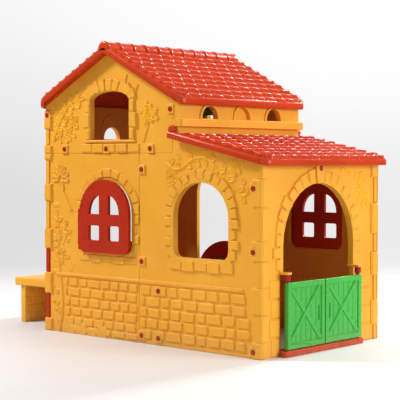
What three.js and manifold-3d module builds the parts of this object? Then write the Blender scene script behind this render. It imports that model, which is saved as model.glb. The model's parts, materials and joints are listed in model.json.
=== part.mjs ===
// Plastic playhouse: panel walls with corner fingers, two tiled roofs, a low double door,
// arched windows, a half-height side door and a bench behind the back wall.
// Millimetres, +Z up, +X to the right as seen from the door, +Y from the door to the bench.
import * as THREE from "three";
import { mergeVertices } from "three/addons/utils/BufferGeometryUtils.js";
import Module from "manifold-3d";

const wasm = await Module();
wasm.setup();

// ---------- overall sizes ----------
const houseWidth = 1000;         // over the corner blocks
const houseDepth = 1600;         // door face to back face
const seamHeight = 1007;         // top of the lower side panels
const eaveHeight = 1256.8;       // verge underside at the front eave of the main roof
const roofSlope = 0.52;          // main roof, rise over run
const porchSlope = 0.22;         // porch roof, rise over run
const porchDepth = 548;          // door face to the upper front wall
const porchEaveHeight = 954;     // porch verge underside over the door face
const benchReach = 432;          // back face to the bench edge
const sideOverhang = 40;         // roofs past the side walls
const frontOverhang = 36;        // main roof past the upper front wall
const backOverhang = 20;         // main roof past the back wall
const ridgeOffset = 6;           // ridge line behind the middle of the main roof

// ---------- walls ----------
const wall = 28;                 // panel thickness without relief
const relief = 9;                // corner blocks and frames over the panel face
const gap = 0.4;                 // between pieces that touch
const sideSeamY = 844;           // seam between the front and back side panels
const stepY = porchDepth + 52;   // front edge of the gable panel
const halfWidth = houseWidth / 2;
const faceX = halfWidth - relief;
const innerX = faceX - wall;
const innerFrontY = relief + wall;
const backFaceY = houseDepth - relief;
const innerBackY = backFaceY - wall;
const eaveFrontY = porchDepth - frontOverhang;
const eaveBackY = houseDepth + backOverhang;
const roofMiddle = (eaveFrontY + eaveBackY) / 2;
const ridgeY = roofMiddle + ridgeOffset;
const ridgeHeight = eaveHeight + roofSlope * (ridgeY - eaveFrontY);
const cornerBlock = 62;          // width of a corner block on a face
const bandLow = 320;             // moulding band on the side panels
const bandHigh = 336;
const bandStart = 120;
const bandEnd = houseDepth - 90;
const tongueInset = 2;           // back panel tongues inside the side face
const frontBlocks = [[0, 82], [214, 348], [475, 574], [739, 879]];
const backBlocks = [[0, 72], [213, 332], [469, 581], [738, 838], [971, 1055]];
const redPanelTop = 470;         // seam between the two lower back panels, and sill between them
const upperBlocks = [[1145, 1225]];

// ---------- openings ----------
const windowHalf = 186;
const windowBottom = 471;
const windowSpring = 679;
const windowTop = 858;
const windowCorner = 42;
const windowFrame = 26;          // raised frame round an arch
const windowLap = 7;             // leaf over the edge of its opening
const backWindowY = 1089;
const frontWindowY = 401;
const sideDoorY = 1102;
const sideDoorHalf = 198;
const sideDoorSill = 40;
const sideDoorSpring = 773;
const sideDoorTop = 940;
const gableOpeningY = roofMiddle;
const gableHalf = 151;
const gableBottom = 1080;
const gableSpring = 1295;
const gableTop = 1342;
const niche = 40;                // width of the stone ring round the gable opening
const nicheTop = 52;             // height of that ring over the opening
const sillLip = 12;              // ring below the sill of an upper opening
const archX = -31;               // middle of the door arch, left of the house middle
const archHalf = 298;
const archSpring = 542;
const archTop = 854;
const hingeRecess = 13;          // door opening, wider at each side up to the lugs
const dormerPitch = 266;         // between the small arches of the upper front wall
const dormerHalf = 61;
const dormerBottom = 1188;
const dormerTop = 1254;
const ventHalf = 65;             // small arch in the upper back wall
const ventBottom = 1094;
const ventTop = 1165;
const ventFrame = 28;
const dormerFrame = 15;
const cutReach = 80;             // how far a cut runs past a face

// ---------- roofs ----------
const roofHalf = halfWidth + sideOverhang;
const vergeHeight = 39;
const vergeWidth = 16;
const vergeDrop = 6;             // verge underside below the slab underside
const boardEnd = 18;             // length of a fascia along the slope
const boardTip = 8;              // bevel at the low end of a board
const eaveCorner = 26;           // rounding of a roof corner in plan
const tileSetback = 4;           // lowest tiles behind the fascia
const slab = 32;                 // roof slab under the tile steps
const tileRows = 9;
const tileStep = 19;
const rollHalf = 46;
const rollTop = ridgeHeight + 63;
const porchEave = 52;            // eave in front of the door face
const porchVerge = 34;
const porchFascia = 38;
const porchRows = 8;
const porchTileStep = 18;
const porchSlab = 32;
const porchVergeEnd = porchDepth + 46;  // verge boards run back past the upper front wall
const knuckleRadius = 17;        // round end on top of a porch verge board
const knuckleY = porchDepth + 26;
const knuckleLift = 14;          // its middle over the board
const bandDepth = 31;            // ledge under the small arches, in front of the wall
const ledgeLow = 1143;
const ledgeHigh = 1183;
const ledgeCorner = 10;
const ledgeLap = 14;             // upper front wall over the porch slab underside
const cornerOut = 2;             // upper front wall past the corner blocks
const tabReach = 84;             // ledge tab along the side face
const tabDrop = 6;
const tabCorner = 14;

// ---------- door ----------
const pinSetback = 4;            // pin axis beyond the side of the arch
const pinOffset = archHalf + pinSetback;
const pinY = -27;
const pinRadius = 7;
const clearance = 0.6;           // radial, pin in bore
const leafFront = -44;
const leafThick = 20;
const barrelRadius = 12;         // round the pin, and leaf edge from the pin axis
const meetX = archX - 6;         // middle of the gap between the leaves
const leafBottom = 36;
const leafTop = 366;
const leafGap = 8;
const leafBorder = 28;
const leafRecess = 9;
const collarRadius = 17;
const collarHeight = 31;
const collarEdge = 2;            // bevel of a collar
const neckRadius = pinRadius + 2;
const neckHeight = 9;
const lugHeight = 12;
const thresholdHeight = 30;
const thresholdHalf = archHalf + 39;
const thresholdFront = 48;
const thresholdCorner = 20;
const thresholdInner = 20;       // inner part starts this far in front of the face
const socketDepth = 18;

// ---------- windows and side door leaves ----------
const leafPlate = 20;
const leafStandoff = 2;          // leaf back face off the relief
const hingeRadius = 8;
const hingeHeight = 26;
const hingePin = 4;
const stubReach = 24;            // stub pin into the leaf
const flangeLow = 505;
const flangeHigh = 676;
const flangeReach = 17;
const paneInner = 36;
const paneOuter = 119;
const paneLowBottom = 533;
const paneLowTop = 614;
const paneHighBottom = 676;
const paneHighTop = 779;
const paneCorner = 10;
const paneSteps = 6;
const flangeLap = 20;            // flange over the leaf edge
const halfDoorTop = 482;
const halfDoorShoulder = 369;
const halfDoorBottom = 46;
const doorHingeLow = 110;
const doorHingeHigh = 300;
const knobY = sideDoorY + 32;
const knobZ = 366;
const knobLength = 12;

// ---------- bench ----------
const benchHalf = 380;
const benchTopLow = 219;
const benchTopHigh = 266;
const benchCorner = 30;
const benchLegHalf = 364;
const benchLegY = houseDepth + benchReach - 94;
const benchLegThick = 44;
const benchLegCorner = 8;

// ---------- small pieces ----------
const capRadius = 14;
const capHeight = 4;
const padHalf = 24;              // raised pad round a screw
const cornerCapY = 53;           // front corner caps behind the door face
const seamCapY = sideSeamY - padHalf;
const seamCapZ = seamHeight + padHalf;
const capCrown = 0.6;            // flat top and straight rim, share of the whole
const shankRadius = 6;
const shankLength = 18;
const keystoneZ = 929;
const keystoneLow = 26;          // half width at the arch
const keystoneHigh = 38;         // half width at the top
const keystoneRise = 96;
const keystoneLap = 6;
const keystoneOut = 9;           // in front of the door face
const knobRadius = 13;
const blindHalf = 216;
const blindLow = 1240;
const blindHigh = 1350;
const blindThick = 14;
const blindCorner = 45;

const bands = 12;                // sides of a small round piece
const cornerSteps = 3;           // sides of a rounded corner
const archSteps = 16;            // sides of an arch
const rollSteps = 10;            // sides of the ridge roll

// ---------- materials ----------
const plastic = (color, roughness) =>
  new THREE.MeshStandardMaterial({ color, roughness, metalness: 0 });
const yellow = () => plastic("#f2a63a", 0.45);
const red = () => plastic("#d8401f", 0.35);
const darkRed = () => plastic("#b92a12", 0.35);
const capRed = () => plastic("#a8202a", 0.4);
const green = () => plastic("#4db84d", 0.4);

// ---------- solids ----------
function solidOf(geometry) {
  const bare = geometry.clone();
  bare.deleteAttribute("normal");
  bare.deleteAttribute("uv");
  const merged = mergeVertices(bare, 1e-4);
  return new wasm.Manifold(new wasm.Mesh({
    numProp: 3,
    vertProperties: new Float32Array(merged.attributes.position.array),
    triVerts: new Uint32Array(merged.index.array),
  }));
}

function geometryOf(solid) {
  const mesh = solid.getMesh();
  const geometry = new THREE.BufferGeometry();
  geometry.setAttribute("position", new THREE.BufferAttribute(mesh.vertProperties, 3));
  geometry.setIndex(new THREE.BufferAttribute(mesh.triVerts, 1));
  geometry.computeVertexNormals();
  return geometry;
}

const joined = (solids) => solids.reduce((whole, piece) => whole.add(piece));
const cutBy = (solid, tools) => tools.reduce((rest, tool) => rest.subtract(tool), solid);

function extruded(outline, depth) {
  return new THREE.ExtrudeGeometry(outline, { depth, bevelEnabled: false });
}

// Outline in (Y, Z), from one X to another.
const toSide = new THREE.Matrix4().makeBasis(
  new THREE.Vector3(0, 1, 0), new THREE.Vector3(0, 0, 1), new THREE.Vector3(1, 0, 0));

function sidePlate(outline, x0, x1) {
  const low = Math.min(x0, x1);
  const geometry = extruded(outline, Math.abs(x1 - x0));
  return solidOf(geometry.applyMatrix4(toSide).translate(low, 0, 0));
}

// Outline in (X, Z), from one Y to another.
function facePlate(outline, y0, y1) {
  const geometry = extruded(outline, Math.abs(y1 - y0));
  return solidOf(geometry.rotateX(Math.PI / 2).translate(0, Math.max(y0, y1), 0));
}

// Outline in (X, Y), from one Z to another.
function flatPlate(outline, z0, z1) {
  return solidOf(extruded(outline, z1 - z0).translate(0, 0, z0));
}

function rod(radius, length, axis, x, y, z) {
  const geometry = new THREE.CylinderGeometry(radius, radius, length, bands);
  if (axis === "x") geometry.rotateZ(Math.PI / 2);
  if (axis === "z") geometry.rotateX(Math.PI / 2);
  return solidOf(geometry.translate(x, y, z));
}

// ---------- outlines ----------
const polygon = (points) => new THREE.Shape(points.map(([u, v]) => new THREE.Vector2(u, v)));
const box = (u0, v0, u1, v1) => polygon([[u0, v0], [u1, v0], [u1, v1], [u0, v1]]);

// Points along an elliptic arc, angles in quarter turns from the +u direction.
function arc(u, v, ru, rv, from, to, steps) {
  const points = [];
  for (let i = 0; i <= steps; i += 1) {
    const angle = (from + (to - from) * i / steps) * Math.PI / 2;
    points.push([u + ru * Math.cos(angle), v + rv * Math.sin(angle)]);
  }
  return points;
}

function roundedBox(u0, v0, u1, v1, r) {
  return polygon([
    ...arc(u1 - r, v0 + r, r, r, -1, 0, cornerSteps),
    ...arc(u1 - r, v1 - r, r, r, 0, 1, cornerSteps),
    ...arc(u0 + r, v1 - r, r, r, 1, 2, cornerSteps),
    ...arc(u0 + r, v0 + r, r, r, 2, 3, cornerSteps),
  ]);
}

// An opening with straight sides and an elliptic top; its lower corners may be round.
function arch(centre, bottom, half, spring, top, corner = 0) {
  const left = centre - half;
  const right = centre + half;
  const foot = corner > 0
    ? [...arc(left + corner, bottom + corner, corner, corner, 2, 3, cornerSteps),
      ...arc(right - corner, bottom + corner, corner, corner, -1, 0, cornerSteps)]
    : [[left, bottom], [right, bottom]];
  return polygon([...foot, ...arc(centre, spring, half, top - spring, 0, 2, archSteps)]);
}

const openingOf = (centre) =>
  arch(centre, windowBottom, windowHalf, windowSpring, windowTop, windowCorner);

function frameOf(centre, wide) {
  return arch(centre, windowBottom - wide, windowHalf + wide, windowSpring, windowTop + wide,
    windowCorner);
}

// ---------- screw caps ----------
// Places on a side face as [Y, Z].
const sideCaps = [
  [houseDepth - padHalf, 1225], [houseDepth - 172, seamCapZ], [gableOpeningY + 24, seamCapZ],
  [stepY + 156, seamCapZ], [stepY + 10, 1234],
  [seamCapY, 921], [seamCapY, 435], [seamCapY, 42], [sideSeamY - 147, 286],
  [sideSeamY - 147, 38], [cornerCapY, 832], [cornerCapY, 521], [cornerCapY, 33],
];

function sideHoles(side) {
  return sideCaps.map(([y, z]) =>
    rod(shankRadius + clearance, 4 * wall, "x", side * faceX, y, z));
}

// Raised pads round the screws, as far as they lie on one panel.
function screwPads(side, outline) {
  const x0 = side * innerX;
  const x1 = side * halfWidth;
  const pads = sideCaps.map(([y, z]) =>
    sidePlate(box(y - padHalf, z - padHalf, y + padHalf, z + padHalf), x0, x1));
  return joined(pads).intersect(sidePlate(outline, x0, x1));
}

function capMesh(name, axis, position) {
  const profile = [
    [0, -shankLength], [shankRadius, -shankLength], [shankRadius, gap], [capRadius, gap],
    [capRadius, capHeight * capCrown], [capRadius * capCrown, capHeight], [0, capHeight],
  ].map(([r, h]) => new THREE.Vector2(r, h));
  const mesh = new THREE.Mesh(new THREE.LatheGeometry(profile, bands), capRed());
  mesh.name = name;
  mesh.quaternion.setFromUnitVectors(new THREE.Vector3(0, 1, 0), axis);
  mesh.position.copy(position);
  return mesh;
}

// ---------- roof lines ----------
const slabUnder = (y) => ridgeHeight + vergeDrop - roofSlope * Math.abs(y - ridgeY);
const vergeUnder = (y) => ridgeHeight - roofSlope * Math.abs(y - ridgeY);
const porchVergeUnder = (y) => porchEaveHeight + porchSlope * y;
const porchSlabUnder = (y) => porchVergeUnder(y) + vergeDrop;

// ---------- side panels ----------
// Blocks that carry a panel round its corner; between them the edge stands back.
function fingeredEdge(blocks, edge, inset, low, high) {
  const points = [];
  let z = low;
  for (const [b0, b1] of blocks) {
    const from = Math.max(b0, low);
    const to = Math.min(b1, high);
    if (to <= low || from >= high) continue;
    if (from > z) points.push([inset, z], [inset, from]);
    points.push([edge, from], [edge, to]);
    z = to;
  }
  if (z < high) points.push([inset, z], [inset, high]);
  return points;
}

function blockPlates(blocks, edge, width, low, high, x0, x1) {
  const inward = edge < ridgeY ? 1 : -1;
  return blocks
    .filter(([b0, b1]) => b1 > low && b0 < high)
    .map(([b0, b1]) => {
      const u0 = Math.min(edge, edge + inward * width);
      const v0 = Math.max(b0, low);
      const v1 = Math.min(b1, high);
      return sidePlate(box(u0, v0, u0 + width, v1), x0, x1);
    });
}

function sidePanelFront(side) {
  const x0 = side * innerX;
  const x1 = side * faceX;
  const topZ = porchSlabUnder(0) - gap;
  const outline = polygon([
    [sideSeamY - gap, 0],
    [sideSeamY - gap, seamHeight - gap],
    [stepY - gap, seamHeight - gap],
    [stepY - gap, porchSlabUnder(stepY) - gap],
    [innerFrontY + gap, porchSlabUnder(innerFrontY) - gap],
    ...fingeredEdge(frontBlocks, 0, innerFrontY + gap, 0, topZ).reverse(),
  ]);
  outline.holes.push(openingOf(frontWindowY));
  const bodyParts = [sidePlate(outline, x0, x1), screwPads(side, outline)];
  bodyParts.push(...blockPlates(frontBlocks, 0, cornerBlock, 0, topZ, x0, side * halfWidth));
  bodyParts.push(sidePlate(box(bandStart, bandLow, sideSeamY - gap, bandHigh), x0, side * halfWidth));
  if (side < 0) bodyParts.push(sidePlate(frameOf(frontWindowY, windowFrame), x0, side * halfWidth));
  const opening = sidePlate(openingOf(frontWindowY), x0 - side * relief, side * (halfWidth + relief));
  return cutBy(joined(bodyParts), [opening, ...sideHoles(side)]);
}

function sidePanelBack(side) {
  const x0 = side * innerX;
  const x1 = side * faceX;
  const top = seamHeight - gap;
  const outline = polygon([
    [sideSeamY, 0],
    ...fingeredEdge(backBlocks, houseDepth, innerBackY - gap, 0, top),
    [sideSeamY, top],
  ]);
  const bodyParts = [sidePlate(outline, x0, x1), screwPads(side, outline)];
  bodyParts.push(...blockPlates(backBlocks, houseDepth, cornerBlock, 0, top, x0, side * halfWidth));
  const opening = side < 0
    ? openingOf(backWindowY)
    : arch(sideDoorY, sideDoorSill, sideDoorHalf, sideDoorSpring, sideDoorTop);
  if (side < 0) {
    bodyParts.push(sidePlate(box(sideSeamY, bandLow, bandEnd, bandHigh), x0, side * halfWidth));
  }
  const tool = sidePlate(opening, x0 - side * relief, side * (halfWidth + relief));
  return cutBy(joined(bodyParts), [tool, ...sideHoles(side)]);
}

function gablePanel(side) {
  const x0 = side * innerX;
  const x1 = side * faceX;
  const cornerTop = slabUnder(houseDepth) - gap;
  const frontTop = slabUnder(porchDepth + wall) - gap;
  const outline = polygon([
    [stepY, seamHeight],
    ...fingeredEdge([...backBlocks, [upperBlocks[0][0], cornerTop]], houseDepth, innerBackY - gap,
      seamHeight, cornerTop),
    [ridgeY, slabUnder(ridgeY) - gap],
    [porchDepth + wall + gap, frontTop],
    [porchDepth + wall + gap, ledgeHigh + 2 * gap],
    [stepY, ledgeHigh + 2 * gap],
  ]);
  const bodyParts = [sidePlate(outline, x0, x1), screwPads(side, outline)];
  bodyParts.push(...blockPlates(backBlocks, houseDepth, cornerBlock, seamHeight, cornerTop, x0,
    side * halfWidth));
  bodyParts.push(...blockPlates(upperBlocks, houseDepth, cornerBlock, seamHeight, cornerTop, x0,
    side * halfWidth));
  const ring = arch(gableOpeningY, gableBottom - sillLip, gableHalf + niche, gableSpring,
    gableTop + nicheTop);
  bodyParts.push(sidePlate(ring, x0, side * halfWidth));
  const hole = arch(gableOpeningY, gableBottom, gableHalf, gableSpring, gableTop);
  const tool = sidePlate(hole, x0 - side * relief, side * (halfWidth + relief));
  return cutBy(joined(bodyParts), [tool, ...sideHoles(side)]);
}

// ---------- door face ----------
function frontPanel() {
  const top = porchSlabUnder(0) - gap;
  const gaps = [];
  for (let i = 0; i < frontBlocks.length; i += 1) {
    const next = i + 1 < frontBlocks.length ? frontBlocks[i + 1][0] : top;
    gaps.push([frontBlocks[i][1] + gap, i + 1 < frontBlocks.length ? next - gap : next]);
  }
  const inset = innerX - gap;
  const right = fingeredEdge(gaps, halfWidth, inset, 0, top);
  const left = right.map(([u, v]) => [-u, v]).reverse();
  const shape = polygon([...right, ...left]);
  const door = [];
  const wide = archHalf + hingeRecess;
  const lugTop = leafTop + neckHeight + collarHeight + lugHeight;
  door.push(facePlate(arch(archX, -gap, archHalf, archSpring, archTop), -cutReach, cutReach));
  door.push(facePlate(box(archX - wide, -gap, archX + wide, lugTop - lugHeight), -cutReach, cutReach));
  const bodyParts = [facePlate(shape, relief, innerFrontY)];
  for (const edge of [-1, 1]) {
    for (const [z0, z1] of gaps) {
      const u = edge * (halfWidth - cornerBlock / 2);
      const half = cornerBlock / 2;
      bodyParts.push(facePlate(box(u - half, z0, u + half, Math.min(z1, top)), 0, innerFrontY));
    }
  }
  const ring = arch(archX, lugTop, archHalf + windowFrame, archSpring, archTop + windowFrame);
  bodyParts.push(facePlate(ring, 0, innerFrontY));
  const keystone = polygon([
    [archX - keystoneLow, archTop - keystoneLap], [archX + keystoneLow, archTop - keystoneLap],
    [archX + keystoneHigh, archTop + keystoneRise], [archX - keystoneHigh, archTop + keystoneRise],
  ]);
  bodyParts.push(facePlate(keystone, -keystoneOut, innerFrontY));
  const panel = cutBy(joined(bodyParts), door);
  const lugs = [-1, 1].map((edge) => {
    const u = archX + edge * pinOffset;
    return facePlate(box(u - collarRadius, lugTop - lugHeight, u + collarRadius, lugTop),
      pinY - collarRadius, innerFrontY);
  });
  const screw = rod(shankRadius + clearance, 4 * wall, "y", archX, 0, keystoneZ);
  return cutBy(joined([panel, ...lugs]), [screw]);
}

// ---------- back walls ----------
function backPanel(low, high, tongues) {
  const inset = innerX - gap;
  const right = fingeredEdge(tongues, halfWidth - tongueInset, inset, low, high);
  const left = right.map(([u, v]) => [-u, v]).reverse();
  return facePlate(polygon([...right, ...left]), innerBackY, backFaceY);
}

function tonguesBetween(low, high) {
  const all = [];
  for (let i = 0; i + 1 < backBlocks.length; i += 1) {
    all.push([backBlocks[i][1] + gap, backBlocks[i + 1][0] - gap]);
  }
  all.push([backBlocks[backBlocks.length - 1][1] + gap, upperBlocks[0][0] - gap]);
  return all.filter(([from, to]) => from > low && to < high);
}

// The opening of the middle panel stands on the lower panel.
function backPanelMiddle() {
  const high = seamHeight - gap;
  const panel = backPanel(redPanelTop, high, tonguesBetween(redPanelTop, high));
  const hole = arch(0, redPanelTop - gap, windowHalf, windowSpring, windowTop);
  return panel.subtract(facePlate(hole, innerBackY - cutReach, houseDepth + cutReach));
}

function backPanelUpper() {
  const low = seamHeight;
  const high = slabUnder(backFaceY) - 2 * gap;
  const panel = backPanel(low, high, tonguesBetween(low, high));
  const spring = ventTop - ventHalf;
  const hole = arch(0, ventBottom, ventHalf, spring, ventTop);
  const ring = arch(0, ventBottom - sillLip, ventHalf + ventFrame, spring, ventTop + ventFrame);
  const body = panel.add(facePlate(ring, innerBackY, houseDepth));
  return body.subtract(facePlate(hole, innerBackY - cutReach, houseDepth + cutReach));
}

// ---------- upper front wall ----------
function clerestory() {
  const low = porchSlabUnder(porchDepth) + ledgeLap;
  const high = slabUnder(porchDepth) - gap;
  const back = porchDepth + wall;
  const wide = halfWidth + cornerOut;
  const spring = dormerTop - dormerHalf;
  const bodyParts = [facePlate(box(-wide, low, wide, high), porchDepth, back)];
  const holes = [];
  for (const i of [-1, 0, 1]) {
    const u = i * dormerPitch;
    const ring = arch(u, ledgeHigh - relief, dormerHalf + dormerFrame, spring,
      dormerTop + dormerFrame);
    bodyParts.push(facePlate(ring, porchDepth - relief, back));
    const through = i === 0 ? back - wall / 2 : back + cutReach;
    const hole = arch(u, dormerBottom, dormerHalf, spring, dormerTop);
    holes.push(facePlate(hole, porchDepth - cutReach, through));
  }
  const body = cutBy(joined(bodyParts), holes);
  const reach = halfWidth + relief;
  const ledge = flatPlate(
    roundedBox(-reach, porchDepth - bandDepth, reach, back, ledgeCorner), ledgeLow, ledgeHigh);
  const tabs = [-1, 1].map((side) => {
    const tab = roundedBox(porchDepth - tabDrop, ledgeLow + tabDrop, porchDepth + tabReach,
      ledgeHigh, tabCorner);
    return sidePlate(tab, side * (wide + gap), side * reach);
  });
  return joined([body, ledge, ...tabs]);
}

// ---------- roofs ----------
// Upper edge of a run of tile rows, from the low end to the high end.
function tileLine(yLow, yHigh, rows, surface, step) {
  const points = [];
  const pitch = (yHigh - yLow) / rows;
  for (let i = 0; i < rows; i += 1) {
    const a = yLow + i * pitch;
    const b = a + pitch;
    points.push([a, surface(a) + step], [b, surface(b)]);
  }
  return points;
}

function vergeBoards(outline) {
  return [-1, 1].map((side) =>
    sidePlate(outline, side * (roofHalf - vergeWidth), side * roofHalf));
}

// A board along the slope from its low end to its high end, bevelled at the low end.
function boardOutline(yLow, yHigh, under, height) {
  const tip = yLow + Math.sign(yHigh - yLow) * boardTip;
  return polygon([
    [yLow, under(yLow) + boardTip],
    [tip, under(tip)],
    [yHigh, under(yHigh)],
    [yHigh, under(yHigh) + height],
    [tip, under(tip) + height],
    [yLow, under(yLow) + height - boardTip],
  ]);
}

// Rounds the roof corners at the eave; the other end of the plan lies past the roof.
function roundedEave(solid, eave, farEnd) {
  const plan = roundedBox(-roofHalf, Math.min(eave, farEnd), roofHalf, Math.max(eave, farEnd),
    eaveCorner);
  return solid.intersect(flatPlate(plan, 0, 2 * rollTop));
}

function mainRoofFront() {
  const eave = eaveFrontY;
  const start = eave + tileSetback;
  const top = (y) => slabUnder(y) + slab;
  const tiles = polygon([
    [start, slabUnder(start)],
    [ridgeY - gap, slabUnder(ridgeY)],
    [ridgeY - gap, top(ridgeY)],
    ...tileLine(start, ridgeY - rollHalf, tileRows, top, tileStep).reverse(),
  ]);
  const body = sidePlate(tiles, -roofHalf + vergeWidth, roofHalf - vergeWidth);
  const verge = boardOutline(eave, ridgeY - gap, vergeUnder, vergeHeight);
  const fascia = sidePlate(
    boardOutline(eave, eave + boardEnd, vergeUnder, vergeHeight), -roofHalf, roofHalf);
  const rollFoot = vergeUnder(ridgeY) + vergeHeight + gap;
  const lipZ = rollFoot - roofSlope * rollHalf;
  const roll = polygon([
    [ridgeY - rollHalf, lipZ - vergeDrop],
    [ridgeY - gap, rollFoot - vergeDrop],
    [ridgeY - gap, rollFoot + roofSlope * gap],
    ...arc(ridgeY, lipZ, rollHalf, rollTop - lipZ, 0, 2, rollSteps),
  ]);
  const whole = joined([body, fascia, ...vergeBoards(verge), sidePlate(roll, -roofHalf, roofHalf)]);
  return roundedEave(whole, eave, ridgeY + rollHalf + eaveCorner);
}

function mainRoofBack() {
  const eave = eaveBackY;
  const start = eave - tileSetback;
  const top = (y) => slabUnder(y) + slab;
  const mirrored = tileLine(-start, -(ridgeY + rollHalf), tileRows, (v) => top(-v), tileStep);
  const tiles = polygon([
    [ridgeY + gap, slabUnder(ridgeY)],
    [start, slabUnder(start)],
    ...mirrored.map(([u, v]) => [-u, v]),
    [ridgeY + gap, top(ridgeY)],
  ]);
  const body = sidePlate(tiles, -roofHalf + vergeWidth, roofHalf - vergeWidth);
  const verge = boardOutline(eave, ridgeY + gap, vergeUnder, vergeHeight);
  const fascia = sidePlate(
    boardOutline(eave, eave - boardEnd, vergeUnder, vergeHeight), -roofHalf, roofHalf);
  return roundedEave(joined([body, fascia, ...vergeBoards(verge)]), eave, ridgeY - 2 * eaveCorner);
}

function porchRoof() {
  const start = -porchEave + tileSetback;
  const back = porchDepth - gap;
  const top = (y) => porchSlabUnder(y) + porchSlab;
  const tiles = polygon([
    [start, porchSlabUnder(start)],
    [back, porchSlabUnder(back)],
    [back, top(back)],
    ...tileLine(start, porchDepth - bandDepth, porchRows, top, porchTileStep).reverse(),
  ]);
  const body = sidePlate(tiles, -roofHalf + vergeWidth, roofHalf - vergeWidth);
  const verge = boardOutline(-porchEave, porchVergeEnd, porchVergeUnder, porchVerge);
  const fascia = sidePlate(
    boardOutline(-porchEave, boardEnd - porchEave, porchVergeUnder, porchFascia),
    -roofHalf, roofHalf);
  const knuckleZ = porchVergeUnder(knuckleY) + porchVerge + knuckleLift;
  const knuckles = [-1, 1].map((side) =>
    rod(knuckleRadius, vergeWidth, "x", side * (roofHalf - vergeWidth / 2), knuckleY, knuckleZ));
  const whole = joined([body, fascia, ...vergeBoards(verge), ...knuckles]);
  return roundedEave(whole, -porchEave, porchVergeEnd + 2 * eaveCorner);
}

// ---------- door leaves ----------
// direction is +1 for a leaf that reaches to +X from its pin.
function doorLeaf(direction) {
  const pinX = archX - direction * pinOffset;
  const edgeX = pinX - direction * barrelRadius;
  const freeX = meetX - direction * leafGap / 2;
  const back = leafFront + leafThick;
  const u0 = Math.min(edgeX, freeX);
  const u1 = Math.max(edgeX, freeX);
  const height = leafTop - leafBottom;
  const middle = leafBottom + height / 2;
  const plate = facePlate(box(u0, leafBottom, u1, leafTop), leafFront, back);
  const barrel = rod(barrelRadius, height, "z", pinX, pinY, middle);
  const pocket = facePlate(box(u0 + leafBorder, leafBottom + leafBorder, u1 - leafBorder,
    leafTop - leafBorder), leafFront - leafRecess, leafFront + leafRecess);
  const bore = rod(pinRadius + clearance, 2 * height, "z", pinX, pinY, middle);
  return cutBy(plate.add(barrel), [pocket, bore]);
}

function doorPin() {
  const collarLow = leafTop + neckHeight;
  const collarHigh = collarLow + collarHeight - gap;
  const foot = thresholdHeight - socketDepth + gap;
  const profile = [
    [0, foot], [pinRadius, foot], [pinRadius, leafTop + gap], [neckRadius, leafTop + gap],
    [neckRadius, collarLow], [collarRadius - collarEdge, collarLow],
    [collarRadius, collarLow + collarEdge], [collarRadius, collarHigh - collarEdge],
    [collarRadius - collarEdge, collarHigh], [0, collarHigh],
  ].map(([r, h]) => new THREE.Vector2(r, h));
  return new THREE.LatheGeometry(profile, bands).rotateX(Math.PI / 2);
}

function threshold() {
  const front = flatPlate(roundedBox(archX - thresholdHalf, -thresholdFront, archX + thresholdHalf,
    -gap, thresholdCorner), 0, thresholdHeight);
  const sill = archHalf + hingeRecess - gap;
  const inside = flatPlate(box(archX - sill, -thresholdInner, archX + sill, innerFrontY), 0,
    thresholdHeight);
  const sockets = [-1, 1].map((edge) =>
    rod(pinRadius + clearance, 2 * socketDepth, "z", archX + edge * pinOffset, pinY, thresholdHeight));
  return cutBy(front.add(inside), sockets);
}

// ---------- window leaves ----------
function paneShapes(centre) {
  const shapes = [];
  for (const edge of [-1, 1]) {
    const u0 = Math.min(edge * paneInner, edge * paneOuter);
    const u1 = Math.max(edge * paneInner, edge * paneOuter);
    shapes.push(roundedBox(centre + u0, paneLowBottom, centre + u1, paneLowTop, paneCorner));
    const near = centre + edge * paneInner;
    const far = paneOuter - paneInner;
    const curve = arc(near, paneHighBottom, edge * far, paneHighTop - paneHighBottom, 0, 1,
      paneSteps);
    const quarter = polygon([[near, paneHighBottom], ...curve]);
    shapes.push(quarter);
  }
  return shapes;
}

function hingeX(side) {
  return side * (halfWidth + leafStandoff + leafPlate / 2);
}

// The hinge edge is on the back side of the leaf.
function windowLeaf(side, centre) {
  const x0 = side * (halfWidth + leafStandoff);
  const x1 = x0 + side * leafPlate;
  const leaf = arch(centre, windowBottom - windowLap, windowHalf + windowLap, windowSpring,
    windowTop + windowLap, windowCorner);
  const hingeAt = centre + windowHalf + windowLap + flangeReach / 2;
  const flange = sidePlate(
    box(centre + windowHalf + windowLap - flangeLap, flangeLow, hingeAt, flangeHigh), x0, x1);
  const barrel = rod(leafPlate / 2, flangeHigh - flangeLow, "z", hingeX(side), hingeAt,
    (flangeLow + flangeHigh) / 2);
  const panes = paneShapes(centre).map((shape) =>
    sidePlate(shape, side * halfWidth, x1 + side * leafPlate));
  const bores = rod(hingePin + clearance, 2 * flangeHigh, "z", hingeX(side), hingeAt, flangeHigh);
  return cutBy(joined([sidePlate(leaf, x0, x1), flange, barrel]), [...panes, bores]);
}

// A lug on the wall face with a stub pin that points up or down into the leaf.
function hingeLug(side, y, z, up) {
  const foot = side * (faceX + gap);
  const axis = hingeX(side);
  const z0 = up ? z - hingeHeight - gap : z + gap;
  const arm = box(Math.min(foot, axis), y - hingeRadius, Math.max(foot, axis), y + hingeRadius);
  const eye = rod(hingeRadius, hingeHeight, "z", axis, y, z0 + hingeHeight / 2);
  const middle = up ? z - hingeHeight / 2 + stubReach / 2 : z + hingeHeight / 2 - stubReach / 2;
  const stub = rod(hingePin, hingeHeight + stubReach - gap, "z", axis, y, middle);
  return joined([flatPlate(arm, z0, z0 + hingeHeight), eye, stub]);
}

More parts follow.
